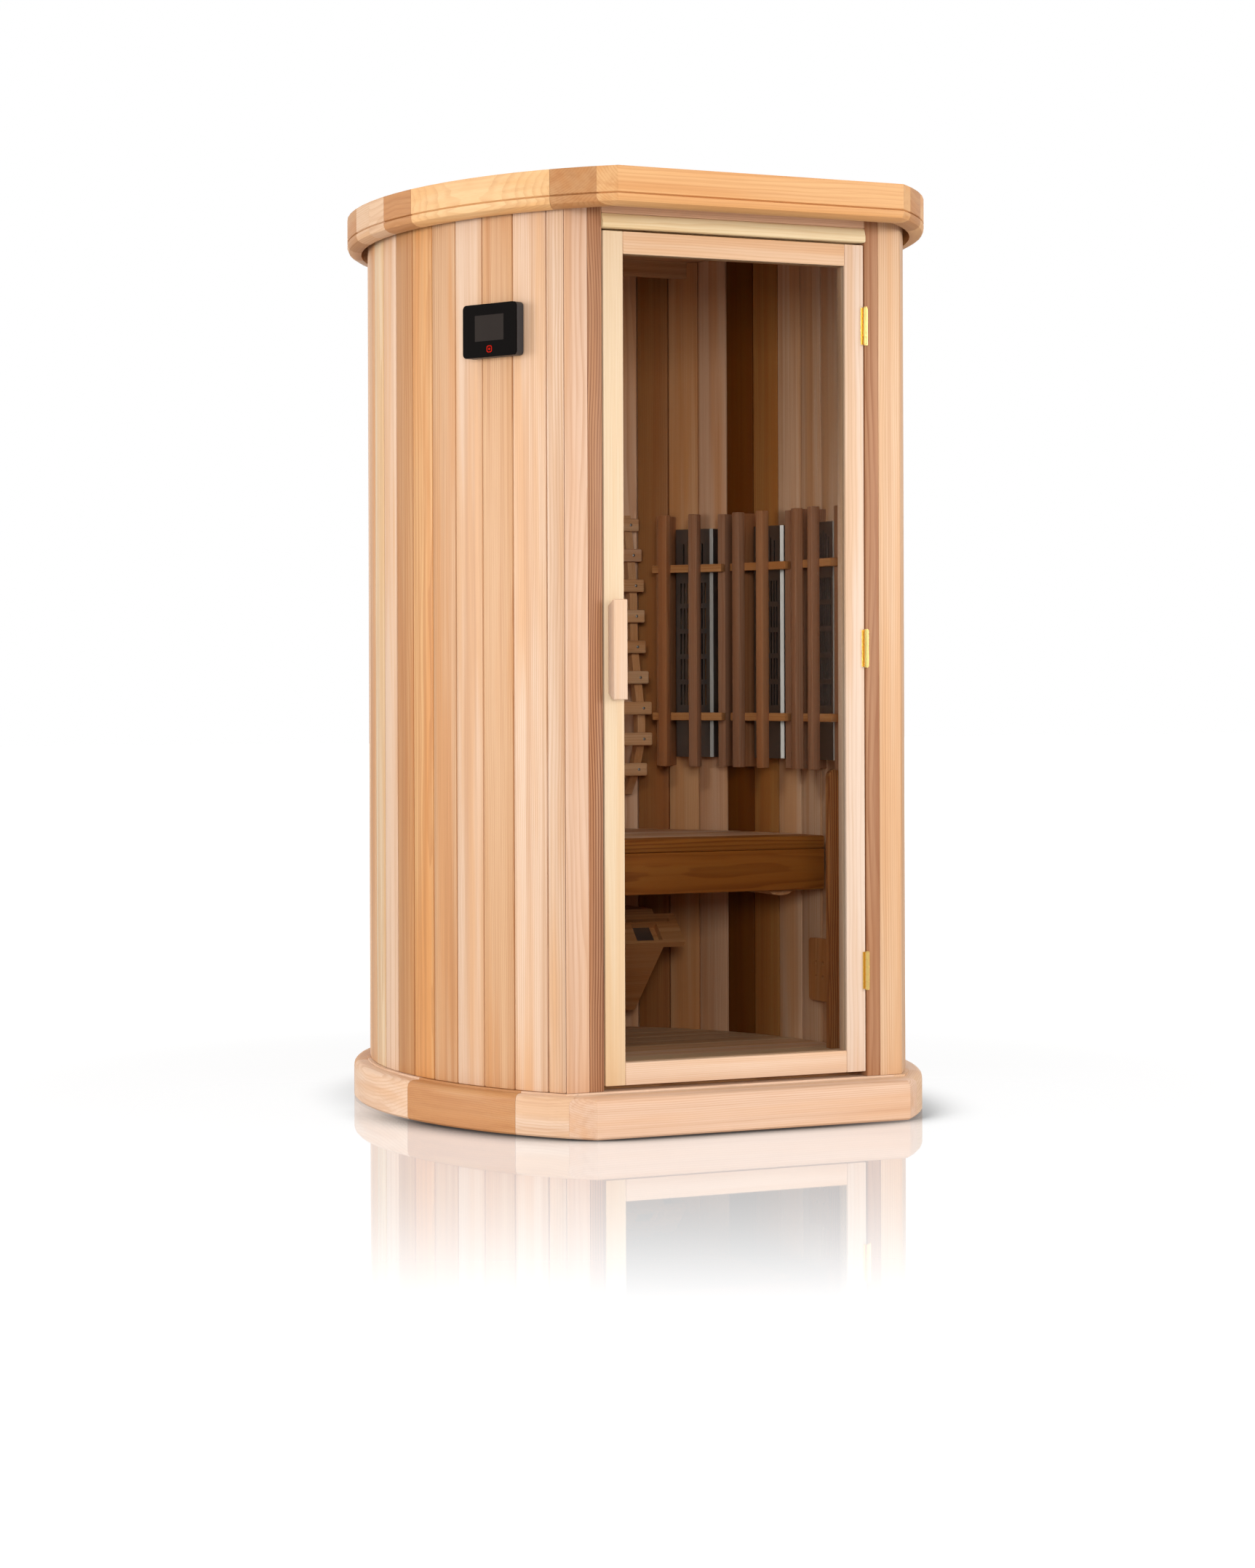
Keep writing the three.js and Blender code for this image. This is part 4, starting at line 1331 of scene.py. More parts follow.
@dataclass
class StaveWall:
    """The oval wall: tongued staves set edge to edge, six panels of them."""

    foot: float = 0.0835
    top: float = 1.88
    panels: tuple[str, ...] = ("rear", "side", "front")
    joint: float = 0.0009
    ease: float = 0.0036
    tongue_half: float = 0.005
    tongue_depths: Pair = (0.012, 0.022)
    seed: int = 100
    tint_seed: int = 31
    seen_left: tuple[Colour, ...] = (
        Tint.PEACH, Tint.PEACH, Tint.TAN, Tint.PEACH, Tint.TAN,
        Tint.GOLD, Tint.BROWN, Tint.PEACH, Tint.CREAM, Tint.TAN,
    )
    # Inside staves that show through the door: their tints are partly the cedar's own tones and
    # partly painted light and shade of the room's inside. The rust, deep and olive staves are
    # painted darker, and the peach staves by the door are painted paler.
    seen_right: tuple[Colour, ...] = (
        Tint.RUST, Tint.TAN, Tint.PINK, Tint.DEEP, Tint.OLIVE, Tint.PEACH, Tint.PEACH, Tint.PEACH,
    )
    first_seen_right: int = 4
    others: tuple[Colour, ...] = (
        Tint.CREAM, Tint.PEACH, Tint.PINK, Tint.SAND, Tint.TAN, Tint.SAND, Tint.BROWN,
    )

    def upright(self, plan: Iterable[Vector], side: Side) -> Shape:
        """Draws a plan of the right wall up to the wall's full height, on either side."""
        outline = [Vector((p.x * side.value, p.y, self.foot)) for p in plan]
        return prism_shape(outline, UP * (self.top - self.foot))

    def corner(self, depth: float) -> Vector:
        """Finds where the last half stave meets the door wall.

        Args:
            depth: Depth behind the stave's outer face.

        Returns:
            The point in plan.
        """
        joint = OVAL.staves * OVAL.pitch
        start = OVAL.edge(joint, depth)
        along = OVAL.edge(OVAL.half_wall, 0.0) - OVAL.edge(joint, 0.0)
        plane = OVAL.shift - OVAL.front + depth
        return start + along * ((plane - start.y) / along.y)

    def stave(self, number: int, side: Side) -> Shape:
        """Makes one stave.

        Args:
            number: Its number, counted from the middle of the back.
            side: The side that it stands on.

        Returns:
            The stave, its edges sharp.
        """
        last = number == OVAL.staves
        corners = []
        for depth in (0.0, OVAL.wall):
            start = OVAL.edge(number * OVAL.pitch, depth)
            end = self.corner(depth) if last else OVAL.edge((number + 1) * OVAL.pitch, depth)
            gap = (end - start).normalized() * self.joint
            corners.append((start + gap, end if last else end - gap))
        (a, b), (d, c) = corners
        return self.upright((a, b, c, d), side)

    def tongue(self, number: int, side: Side) -> Shape:
        """Makes the tongue that closes the joint before a stave.

        Args:
            number: The stave's number.
            side: The side that it stands on.

        Returns:
            The tongue.
        """
        joint = number * OVAL.pitch
        near, far = self.tongue_depths
        start, end = joint - self.tongue_half, joint + self.tongue_half
        corners = ((start, near), (end, near), (end, far), (start, far))
        return self.upright([OVAL.edge(along, depth) for along, depth in corners], side)

    def tints(self, side: Side) -> list[Colour]:
        """Picks the tints of one side's staves, with those that the photograph shows.

        Args:
            side: The side.

        Returns:
            A tint for each stave from the middle of the back.
        """
        pick = Random(self.tint_seed + side.value)
        tints = [pick.choice(self.others) for _ in range(OVAL.staves + 1)]
        if side is Side.LEFT:
            tints[-len(self.seen_left) :] = self.seen_left[::-1]
        else:
            end = self.first_seen_right + len(self.seen_right)
            tints[self.first_seen_right : end] = self.seen_right
        return tints

    def build(self) -> None:
        """Builds the six panels."""
        per_panel = OVAL.staves // len(self.panels)
        for side in Side:
            tints = self.tints(side)
            for panel, word in enumerate(self.panels):
                timber = Timber(self.seed + SEED_STEP * panel + side.value)
                last = panel + 1 == len(self.panels)
                end = OVAL.staves + 1 if last else (panel + 1) * per_panel
                numbers = range(panel * per_panel, end)
                for number in numbers:
                    timber.add(self.stave(number, side), UP, tints[number], self.ease)
                for number in numbers:
                    if number or side is Side.RIGHT:
                        timber.add(self.tongue(number, side), UP, Tint.BROWN, 0.0)
                tag = f"{side.word}_{word}"
                timber.piece(f"staves_{tag}", Finish.WALL, [f"wall_panel_{tag}"])


@dataclass
class RingOfBlocks:
    """An oval ring of shaped blocks that butt at radial joints, such as the base or the crown."""

    name: str
    node: str
    finish: Finish
    joints: tuple[float, ...]
    tints: tuple[Colour, ...]
    seed: int
    gap: float = 0.0003

    def block(self, start: float, end: float) -> Shape:
        """Cuts one block out of the ring.

        Args:
            start: Its first joint, in degrees of the oval.
            end: Its last joint.

        Returns:
            The block.
        """
        shape = solid_shape(self.node)
        for angle, way in ((start, 1.0), (end, -1.0)):
            spoke = (OVAL.flat(math.radians(angle)) - OVAL.centre).normalized()
            side = UP.cross(spoke) * way
            cut(shape, OVAL.centre + side * self.gap, -side)
        return shape

    def build(self) -> None:
        """Builds the ring, block by block."""
        ring = Timber(self.seed)
        ends = self.joints[1:] + (self.joints[0] + 360.0,)
        for start, end, tint in zip(self.joints, ends, self.tints):
            middle = math.radians((start + end) / 2)
            ring.add(self.block(start, end), UP.cross(OVAL.inward(middle)), tint, 0.0)
        ring.piece(self.name, self.finish, [self.node])


@dataclass
class Plinth:
    """The base: a ring of shaped blocks, a straight front board and the floor deck."""

    joints: tuple[float, ...] = (
        -47.6, -36.0, -9.6, 22.0, 58.0, 90.0, 122.0, 158.0, 189.6, 216.2, 227.6,
    )
    tints: tuple[Colour, ...] = (
        Tint.SAND, Tint.PEACH, Tint.TAN, Tint.CREAM, Tint.SAND, Tint.PEACH,
        Tint.TAN, Tint.PEACH, Tint.BROWN, Tint.PEACH, Tint.PEACH,
    )
    ring_seed: int = 300
    front_seed: int = 310
    deck_board: float = 0.088
    deck_gap: float = 0.0011
    deck_first: float = -0.440235
    deck_seed: int = 320
    deck_tint_seed: int = 321
    deck_tints: tuple[Colour, ...] = (Tint.BLUSH, Tint.SAND, Tint.PEACH, Tint.CREAM)

    def deck(self) -> None:
        """Builds the floor deck, board by board."""
        deck = Timber(self.deck_seed)
        pick = Random(self.deck_tint_seed)
        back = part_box("floor_deck")[1].y
        edge = self.deck_first + OVAL.shift
        while edge < back:
            shape = solid_shape("floor_deck")
            cut(shape, BACK * (edge + self.deck_gap), -BACK)
            cut(shape, BACK * (edge + self.deck_board - self.deck_gap), BACK)
            tint = pick.choice(self.deck_tints)
            if shape.faces:
                deck.add(shape, RIGHT, tint, 0.0)
            edge += self.deck_board
        deck.piece("floor_boards", Finish.FLOOR, ["floor_deck"])

    def build(self) -> None:
        """Builds the ring, the front board and the deck."""
        RingOfBlocks(
            "base_blocks", "base_ring", Finish.BASE, self.joints, self.tints, self.ring_seed
        ).build()
        front = Board("base_front_board", RIGHT, Tint.PINK, Finish.BASE)
        front.build("base_front", self.front_seed)
        self.deck()


@dataclass
class Crown:
    """The crown: a ring of grooved blocks and a front board, with the roof and the valance."""

    joints: tuple[float, ...] = (
        -54.0, -43.9, -12.7, -3.5, 20.0, 48.0, 76.0, 104.0,
        132.0, 147.0, 158.1, 169.3, 177.0, 183.5, 192.7, 223.9,
    )
    tints: tuple[Colour, ...] = (
        Tint.BROWN, Tint.GOLD, Tint.TAN, Tint.PEACH, Tint.SAND, Tint.GOLD, Tint.TAN, Tint.SAND,
        Tint.PEACH, Tint.TAN, Tint.BROWN, Tint.SAND, Tint.SAND, Tint.BROWN, Tint.HONEY, Tint.BROWN,
    )
    ring_seed: int = 400
    board_seed: int = 421
    valance_seed: int = 417

    def build(self) -> None:
        """Builds the ring, the front board, the roof and the valance."""
        RingOfBlocks(
            "crown_blocks", "crown_ring", Finish.CROWN, self.joints, self.tints, self.ring_seed
        ).build()
        front = Board("crown_front_board", RIGHT, Tint.GOLD, Finish.CROWN)
        front.build("crown_front", self.board_seed)
        roof = Board("roof_panel", RIGHT, Tint.SAND, Finish.CROWN)
        roof.build("roof_boards", self.board_seed)
        valance = Board("ceiling_valance", RIGHT, Tint.TAN, Finish.BENCH)
        valance.build("valance", self.valance_seed)


@dataclass
class DoorWall:
    """The flat wall round the door: fillers, jambs, header and sill."""

    ease: float = 0.0018
    seed: int = 500

    def build(self) -> None:
        """Builds the boards of the door wall."""
        boards = (
            Board("front_filler_left", UP, Tint.PINK, Finish.FRONT, self.ease),
            Board("front_filler_right", UP, Tint.SAND, Finish.FRONT, self.ease),
            Board("door_jamb_left", UP, Tint.ROSE, Finish.JAMB, self.ease),
            Board("door_jamb_right", UP, Tint.ROSE, Finish.JAMB_PLAIN, self.ease),
            Board("header_board", RIGHT, Tint.PINK, Finish.FRONT, self.ease),
            # The trim's pale tint carries painted light against the shade under the crown.
            Board("header_trim", RIGHT, Tint.PALE, Finish.DOOR, self.ease),
            Board("door_sill", RIGHT, Tint.BROWN, Finish.JAMB, self.ease),
        )
        build_boards(boards, self.seed)


@dataclass
class Door:
    """The glazed door: stiles, rails, tinted glass and a wooden handle."""

    ease: float = 0.002
    seed: int = 600

    def build(self) -> None:
        """Builds the leaf's boards, its glass and its handle."""
        boards = (
            Board("door_stile_handle", UP, Tint.CREAM, Finish.DOOR, self.ease),
            Board("door_stile_hinge", UP, Tint.BLUSH, Finish.DOOR, self.ease),
            Board("door_rail_bottom", RIGHT, Tint.PEACH, Finish.DOOR, self.ease),
            Board("door_rail_top", RIGHT, Tint.SAND, Finish.DOOR, self.ease),
            Board("door_handle", UP, Tint.BLUSH, Finish.DOOR, self.ease),
        )
        build_boards(boards, self.seed, DOOR)
        dress("door_glass", Finish.GLASS)


@dataclass
class Hinges:
    """Three butt hinges, each with a narrow flange of both leaves round the board's edge."""

    flange: float = 0.0065
    proud: float = 0.0008
    jamb_edge: float = 0.298
    stile_edge: float = 0.295
    words: tuple[str, ...] = ("top", "middle", "bottom")

    def flanges(self, name: str, body: str, board: str, leaf: str, start: float) -> None:
        """Lays the three flanges of one leaf on a board's face.

        Args:
            name: The piece's name.
            body: The body that it moves with.
            board: The board's solid.
            leaf: The leaves' kind.
            start: Where the flanges start across the cabin.
        """
        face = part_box(board)[0].y
        end = start + self.flange
        whole = bmesh.new()
        for word in self.words:
            low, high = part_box(f"hinge_{leaf}_{word}")
            outline = box_outline((start, face - self.proud, low.z), (end, face, low.z))
            add_shape(whole, prism_shape(outline, UP * (high.z - low.z)))
        face_outwards(whole)
        place_piece(plain_mesh(whole, name), name, Finish.BRASS, body, [])

    def build(self) -> None:
        """Dresses the leaves and the pins, and adds the flanges."""
        for word in self.words:
            for kind in ("jamb_leaf", "door_leaf", "pin"):
                dress(f"hinge_{kind}_{word}", Finish.BRASS)
        self.flanges(
            "hinge_flanges_jamb", CABIN, "door_jamb_right", "jamb_leaf", self.jamb_edge
        )
        self.flanges(
            "hinge_flanges_door",
            DOOR,
            "door_stile_hinge",
            "door_leaf",
            self.stile_edge - self.flange,
        )


@dataclass
class ControlPanel:
    """The control on the left wall: grey housing, black glass front, screen and touch mark."""

    stave: float = 16.5
    depth: float = 0.0223
    middle: float = 1.605
    screen: Pair = (0.078, 0.052)
    screen_corner: float = 0.001
    screen_rise: float = 0.005
    mark: float = 0.014
    mark_line: float = 0.0017
    mark_rise: float = -0.0375
    outer_corner: float = 0.3
    inner_corner: float = 0.2
    slit: float = 1e-5
    dot: float = 0.34
    dot_corner: float = 0.16
    proud: float = 0.0004

    def place(self) -> Matrix:
        """Finds the middle of the glass front.

        Returns:
            A frame there, X towards the door and Z away from the wall.
        """
        start = OVAL.edge((self.stave - 0.5) * OVAL.pitch, 0.0)
        end = OVAL.edge((self.stave + 0.5) * OVAL.pitch, 0.0)
        start.x, end.x = -start.x, -end.x
        along = (end - start).normalized()
        out = along.cross(UP)
        centre = (start + end) / 2 + out * self.depth + UP * self.middle
        return Matrix.Translation(centre) @ Matrix((along, UP, out)).transposed().to_4x4()

    def plate(self, name: str, outline: Sequence[Vector], finish: Finish) -> None:
        """Lays a thin plate on the glass.

        Args:
            name: The piece's name.
            outline: Its outline about the middle of the glass.
            finish: Its finish.
        """
        shape = prism_shape(outline, UP * self.proud)
        face_outwards(shape)
        shape.transform(self.place())
        place_piece(plain_mesh(shape, name), name, finish, CABIN, [])

    def mark_outline(self) -> list[Vector]:
        """Draws the touch mark's rounded square band.

        Returns:
            One outline with a hairline slit.
        """
        size, hole = self.mark, self.mark - 2 * self.mark_line
        outer = rounded_outline(size, size, size * self.outer_corner, self.mark_rise)
        inner = rounded_outline(hole, hole, size * self.inner_corner, self.mark_rise)
        for band in (outer, inner):
            band.append(band[0] + RIGHT * self.slit)
        return outer + inner[::-1]

    def build(self) -> None:
        """Dresses the housing and the glass, and adds the screen and the touch mark."""
        dress("control_housing", Finish.PLASTIC)
        dress("control_glass", Finish.BLACK)
        dress("cable_gland", Finish.PLASTIC)
        screen = rounded_outline(*self.screen, self.screen_corner, self.screen_rise)
        self.plate("control_screen", screen, Finish.SCREEN)
        self.plate("control_mark", self.mark_outline(), Finish.ICON)
        size, corner = self.mark * self.dot, self.mark * self.dot_corner
        dot = rounded_outline(size, size, corner, self.mark_rise)
        self.plate("control_mark_dot", dot, Finish.ICON)


@dataclass
class Bench:
    """The bench: slats along the cabin's width, an apron, bearers and cleats."""

    front: float = 0.03
    slat_thickness: float = 0.029
    slat_width: float = 0.088
    slat_gap: float = 0.007
    end_gap: float = 0.019
    ease: float = 0.004
    apron_ease: float = 0.003
    bearer_gap: float = 0.0002
    seat_seed: int = 700
    board_seed: int = 720
    tints: tuple[Colour, ...] = (
        Tint.AMBER, Tint.BLUSH, Tint.PEACH, Tint.BLUSH, Tint.PINK, Tint.PEACH,
    )

    def slat(self, number: int) -> Shape:
        """Makes one slat, its ends cut to the wall's curve.

        Args:
            number: Its number, counted from the front.

        Returns:
            The slat.
        """
        near = self.front + number * (self.slat_width + self.slat_gap)
        far = near + self.slat_width
        ends = OVAL.half_room(near, self.end_gap), OVAL.half_room(far, self.end_gap)
        corners = ((-ends[0], near), (ends[0], near), (ends[1], far), (-ends[1], far))
        foot = BENCH_TOP - self.slat_thickness
        outline = [Vector((x, y + OVAL.shift, foot)) for x, y in corners]
        return prism_shape(outline, UP * self.slat_thickness)

    def build(self) -> None:
        """Builds the seat, the apron and the cleats."""
        seat = Timber(self.seat_seed)
        for number, tint in enumerate(self.tints):
            seat.add(self.slat(number), RIGHT, tint, self.ease)
        under = solid_shape("bench_seat")
        cut(under, UP * (BENCH_TOP - self.slat_thickness - self.bearer_gap), UP)
        for points, faces in islands(under):
            seat.take(points, faces, BACK, Tint.TAN)
        seat.piece("seat_slats", Finish.BENCH, ["bench_seat"])
        boards = (
            Board("bench_apron", RIGHT, Tint.AMBER, Finish.BENCH, self.apron_ease),
            Board("bench_cleat_left", BACK, Tint.TAN, Finish.BENCH),
            Board("bench_cleat_right", BACK, Tint.TAN, Finish.BENCH),
        )
        build_boards(boards, self.board_seed)


@dataclass
class Backrest:
    """Slats on two curved uprights whose ends lean on the rear wall."""

    slats: int = 9
    slat_height: float = 0.03
    slat_thickness: float = 0.019
    slat_length: float = 0.548
    slat_ease: float = 0.004
    slat_ease_steps: int = 3
    lowest: float = 0.14
    pitch: float = 0.0715
    from_middle: float = 0.252
    thickness: float = 0.019
    depth: float = 0.022
    lap: float = 0.001
    steps: int = 10
    screw: float = 0.0035
    seed: int = 800
    tint_seed: int = 801
    tints: tuple[Colour, ...] = (Tint.SAND, Tint.TAN, Tint.PINK)
    curve: tuple[Pair, ...] = (
        (0.08, 0.0), (0.145, 0.048), (0.245, 0.077), (0.425, 0.041), (0.575, 0.031), (0.735, 0.0),
    )

    def line(self) -> list[Pair]:
        """Draws the uprights' back edge as a smooth curve through its points.

        Returns:
            Depth and height of points along it, from the foot up.
        """
        share = self.from_middle / (OVAL.half_width - OVAL.wall)
        wall = (OVAL.half_depth - OVAL.wall) * math.sqrt(1 - share * share) + OVAL.shift
        points = [Vector(p) for p in self.curve]
        last = len(points) - 1
        made = []
        for i in range(last):
            before, after = points[max(i - 1, 0)], points[min(i + 2, last)]
            here, there = points[i], points[i + 1]
            start, end = (there - before) / 2, (after - here) / 2
            cubic = 2 * here - 2 * there + start + end
            square = 3 * (there - here) - 2 * start - end
            for step in range(self.steps + (i == last - 1)):
                t = step / self.steps
                rise, off = ((cubic * t + square) * t + start) * t + here
                made.append((wall - off, BENCH_TOP + rise))
        return made

    def face_at(self, height: float) -> float:
        """Finds the uprights' front edge.

        Args:
            height: Height above the floor.

        Returns:
            The edge's depth in the cabin.
        """
        line = self.line()
        for (y0, z0), (y1, z1) in zip(line, line[1:]):
            if z0 <= height <= z1:
                return y0 + (y1 - y0) * (height - z0) / (z1 - z0) - self.depth
        return line[-1][0] - self.depth

    def uprights(self, timber: Timber) -> None:
        """Adds the two uprights.

        Args:
            timber: The backrest's boards.
        """
        line = self.line()
        for side in Side:
            x = side.value * self.from_middle - self.thickness / 2
            back = [Vector((x, y, z)) for y, z in line]
            front = [Vector((x, y - self.depth, z)) for y, z in line]
            shape = prism_shape(back + front[::-1], RIGHT * self.thickness)
            timber.add(shape, UP, Tint.TAN, 0.0)

    def slat_places(self) -> list[Vector]:
        """Finds where the slats lie on the uprights.

        Returns:
            The middle of each slat's front face, from the lowest up.
        """
        heights = [BENCH_TOP + self.lowest + i * self.pitch for i in range(self.slats)]
        reach = self.lap - self.slat_thickness
        return [Vector((0.0, self.face_at(z) + reach, z)) for z in heights]

    def build(self) -> None:
        """Builds the uprights and the slats, and drives the screws."""
        timber = Timber(self.seed)
        self.uprights(timber)
        size = Vector((self.slat_length, self.slat_thickness, self.slat_height))
        slat = prism_shape(box_outline(-size / 2, size / 2), UP * size.z)
        ease_edges(slat, self.slat_ease, self.slat_ease_steps)
        fronts = self.slat_places()
        middles = [Matrix.Translation(p + BACK * (self.slat_thickness / 2)) for p in fronts]
        pick = Random(self.tint_seed)
        for points, faces in split_rows(row_of(slat, middles, Finish.GUARD)):
            timber.take(points, faces, RIGHT, pick.choice(self.tints))
        timber.piece("backrest_slats", Finish.GUARD, ["backrest"])
        turn = Matrix.Rotation(math.pi / 2, 4, "X")
        ends = [p + RIGHT * (side.value * self.from_middle) for p in fronts for side in Side]
        heads = [Matrix.Translation(p) @ turn for p in ends]
        Screw(self.screw).drive("backrest_screws", heads, Finish.STAINLESS)


@dataclass
class WallHeaters:
    """Six slotted heater housings on the wall, each behind a wooden guard."""

    first: float = 0.513
    spacing: float = 0.25
    words: tuple[str, ...] = ("rear", "middle", "front")
    width: float = 0.102
    depth: float = 0.048
    bottom: float = 0.725
    top: float = 1.253
    chamfer: float = 0.006
    sheet: float = 0.0016
    plate_gap: float = 0.01
    element: float = 0.011
    element_sides: int = 20
    element_back: float = 0.002
    slot_width: float = 0.0045
    slot_pitch: float = 0.0094
    slot_height: float = 0.0475
    slot_row: float = 0.0588
    slots_foot: float = 0.8456
    columns: int = 8
    rows: int = 5
    vent_pitch: float = 0.0126
    vent_foot: float = 1.172
    vents: tuple[tuple[int, float], ...] = ((5, 0.0475), (3, 0.055), (1, 0.063))
    guard_half: float = 0.094
    guard_bottom: float = 0.704
    guard_top: float = 1.285
    guard_seed: int = 820
    guard_tints: tuple[Colour, ...] = (Tint.CLAY, Tint.ROSE, Tint.CLAY)
    post_width: float = 0.02
    post_back: float = 0.003
    post_depth: float = 0.06
    post_ease: float = 0.002
    rail_height: float = 0.018
    rail_thickness: float = 0.019
    rail_ease: float = 0.0015
    rails: Pair = (0.819, 1.161)
    slat_width: float = 0.023
    slat_thickness: float = 0.019
    slat_spacing: float = 0.082
    slats_rearward: float = 0.013
    lap: float = 0.001

    def section(self, inset: float) -> list[Vector]:
        """Draws the housing's plan from its left foot round the front.

        Args:
            inset: How far it is drawn in.

        Returns:
            The plan's corners, at the housing's foot.
        """
        half, reach = self.width / 2 - inset, self.depth - inset
        slope = self.chamfer - inset * (2 - math.sqrt(2))
        corners = ((-half, 0.0), (-half, reach - slope), (-half + slope, reach))
        points = [Vector((x, y, self.bottom)) for x, y in corners]
        return points + [Vector((-p.x, p.y, p.z)) for p in reversed(points)]

    def slotted(
        self, mesh: Mesh, columns: int, rows: int, height: float, foot: float, pitch: float
    ) -> Mesh:
        """Cuts rows of slots through the housing's front.

        Args:
            mesh: The housing.
            columns: Slots in a row.
            rows: Rows of slots.
            height: Length of a slot.
            foot: Height of the lowest row's foot.
            pitch: Distance from slot to slot.

        Returns:
            The slotted housing.
        """
        values = {
            "Slot Width": self.slot_width,
            "Slot Height": height,
            "Slot Depth": self.chamfer,
            "Pitch": pitch,
            "Row Pitch": self.slot_row,
            "Columns": columns,
            "Rows": rows,
            "Start": Vector((-(columns - 1) / 2 * pitch, self.depth, foot + height / 2)),
            "Finish": Finish.STAINLESS.material(),
        }
        return run_tree(mesh, SLOT_TREE, values)

    def housing(self) -> Mesh:
        """Makes a housing: a bent sheet with slots, and its two end plates.

        Returns:
            The housing in its own frame.
        """
        height = self.top - self.bottom
        sheet = prism_shape(self.section(0.0) + self.section(self.sheet)[::-1], UP * height)
        face_outwards(sheet)
        mesh = self.slotted(
            plain_mesh(sheet, "housing"),
            self.columns,
            self.rows,
            self.slot_height,
            self.slots_foot,
            self.slot_pitch,
        )
        for columns, length in self.vents:
            mesh = self.slotted(mesh, columns, 1, length, self.vent_foot, self.vent_pitch)
        whole = bmesh.new()
        whole.from_mesh(mesh)
        plan = self.section(self.sheet * (1 + self.plate_gap))
        for rise in (0.0, height - self.sheet):
            plate = prism_shape([p + UP * rise for p in plan], UP * self.sheet)
            face_outwards(plate)
            add_shape(whole, plate)
        return plain_mesh(whole, "housing")

    def rod(self) -> Mesh:
        """Makes the heating element that shows through the slots.

        Returns:
            The element in the housing's frame.
        """
        shape = bmesh.new()
        bmesh.ops.create_cone(
            shape,
            cap_ends=True,
            segments=self.element_sides,
            radius1=self.element,
            radius2=self.element,
            depth=self.top - self.bottom - 4 * self.sheet,
        )
        place = (0, self.depth / 2 - self.element_back, (self.top + self.bottom) / 2)
        shape.transform(Matrix.Translation(place))
        return plain_mesh(shape, "rod")

    def guard(self, place: Matrix, wall: Side, seed: int) -> Timber:
        """Makes a guard: two posts, two rails across them and two slats on the rails.

        Args:
            place: The heater's frame on the wall.
            wall: The wall that it stands on.
            seed: Seed of the boards' tones.

        Returns:
            The guard's boards.
        """
        timber = Timber(seed)
        pick = Random(seed)
        half, rail_back = self.guard_half, self.post_depth - self.lap
        rail_front = rail_back + self.rail_thickness
        low, high = self.guard_bottom, self.guard_top
        for side in Side:
            ends = sorted((side.value * half, side.value * (half - self.post_width)))
            middle = wall.value * self.slats_rearward + side.value * self.slat_spacing / 2
            near, far = middle - self.slat_width / 2, middle + self.slat_width / 2
            front = rail_front + self.slat_thickness
            for first, second in (
                ((ends[0], self.post_back, low), (ends[1], self.post_depth, high)),
                ((near, rail_front - self.lap, low), (far, front, high)),
            ):
                tint = pick.choice(self.guard_tints)
                timber.block(first, second, UP, tint, self.post_ease, place)
        along = place.to_3x3() @ RIGHT
        for rail in self.rails:
            first = (-half, rail_back, rail - self.rail_height / 2)
            second = (half, rail_front, rail + self.rail_height / 2)
            timber.block(first, second, along, Tint.BROWN, self.rail_ease, place)
        return timber

    def build(self) -> None:
        """Builds the six heaters."""
        housing, rod = self.housing(), self.rod()
        for side in Side:
            for number, word in enumerate(self.words):
                place = OVAL.inner_place(side.value * (self.first + number * self.spacing))
                tag = f"{side.word}_{word}"
                for name, model, finish, nodes in (
                    ("heater_sheet", housing, Finish.STAINLESS, [f"heater_housing_{tag}"]),
                    ("heater_element", rod, Finish.CERAMIC, []),
                ):
                    mesh = model.copy()
                    mesh.transform(place)
                    smooth_shade(mesh)
                    place_piece(mesh, f"{name}_{tag}", finish, CABIN, nodes)
                seed = self.guard_seed + SEED_STEP * number + side.value
                guard = self.guard(place, side, seed)
                guard.piece(f"guard_{tag}", Finish.GUARD, [f"heater_guard_{tag}"])


@dataclass
class LegHeater:
    """The heater for the legs under the bench, in a ribbed wooden box."""

    seed: int = 880

    def build(self) -> None:
        """Dresses the box and its heater."""
        # The box's brown tint is partly the cedar's own tone and partly painted shade from the
        # bench above it.
        build_boards([Board("leg_heater_box", RIGHT, Tint.BROWN, Finish.GUARD)], self.seed)
        dress("leg_heater_panel", Finish.STAINLESS)


@dataclass
class RightWall:
    """The side board and the air inlet on the right wall."""

    ease: float = 0.0015
    seed: int = 890

    def build(self) -> None:
        """Dresses the board and the inlet's cover."""
        boards = (
            Board("side_board", UP, Tint.BROWN, Finish.JAMB, self.ease),
            Board("air_inlet_cover", UP, Tint.BROWN, Finish.GUARD),
        )
        build_boards(boards, self.seed)


@dataclass(frozen=True)
class Lamp:
    """A soft square lamp that faces the cabin, out of the camera's sight."""

    name: str
    place: Triple
    size: float
    power: float
    mirrored: bool = True
    aim: Triple = (0.0, 0.0, 0.95)

    def hang(self) -> None:
        """Hangs the lamp."""
        data = bpy.data.lights.new(self.name, "AREA")
        data.size = self.size
        data.energy = self.power
        lamp = bpy.data.objects.new(self.name, data)
        bpy.context.scene.collection.objects.link(lamp)
        lamp.visible_camera = False
        lamp.visible_glossy = self.mirrored
        lamp.visible_transmission = False
        lamp.location = self.place
        way = Vector(self.aim) - Vector(self.place)
        lamp.rotation_euler = way.to_track_quat("-Z", "Y").to_euler()


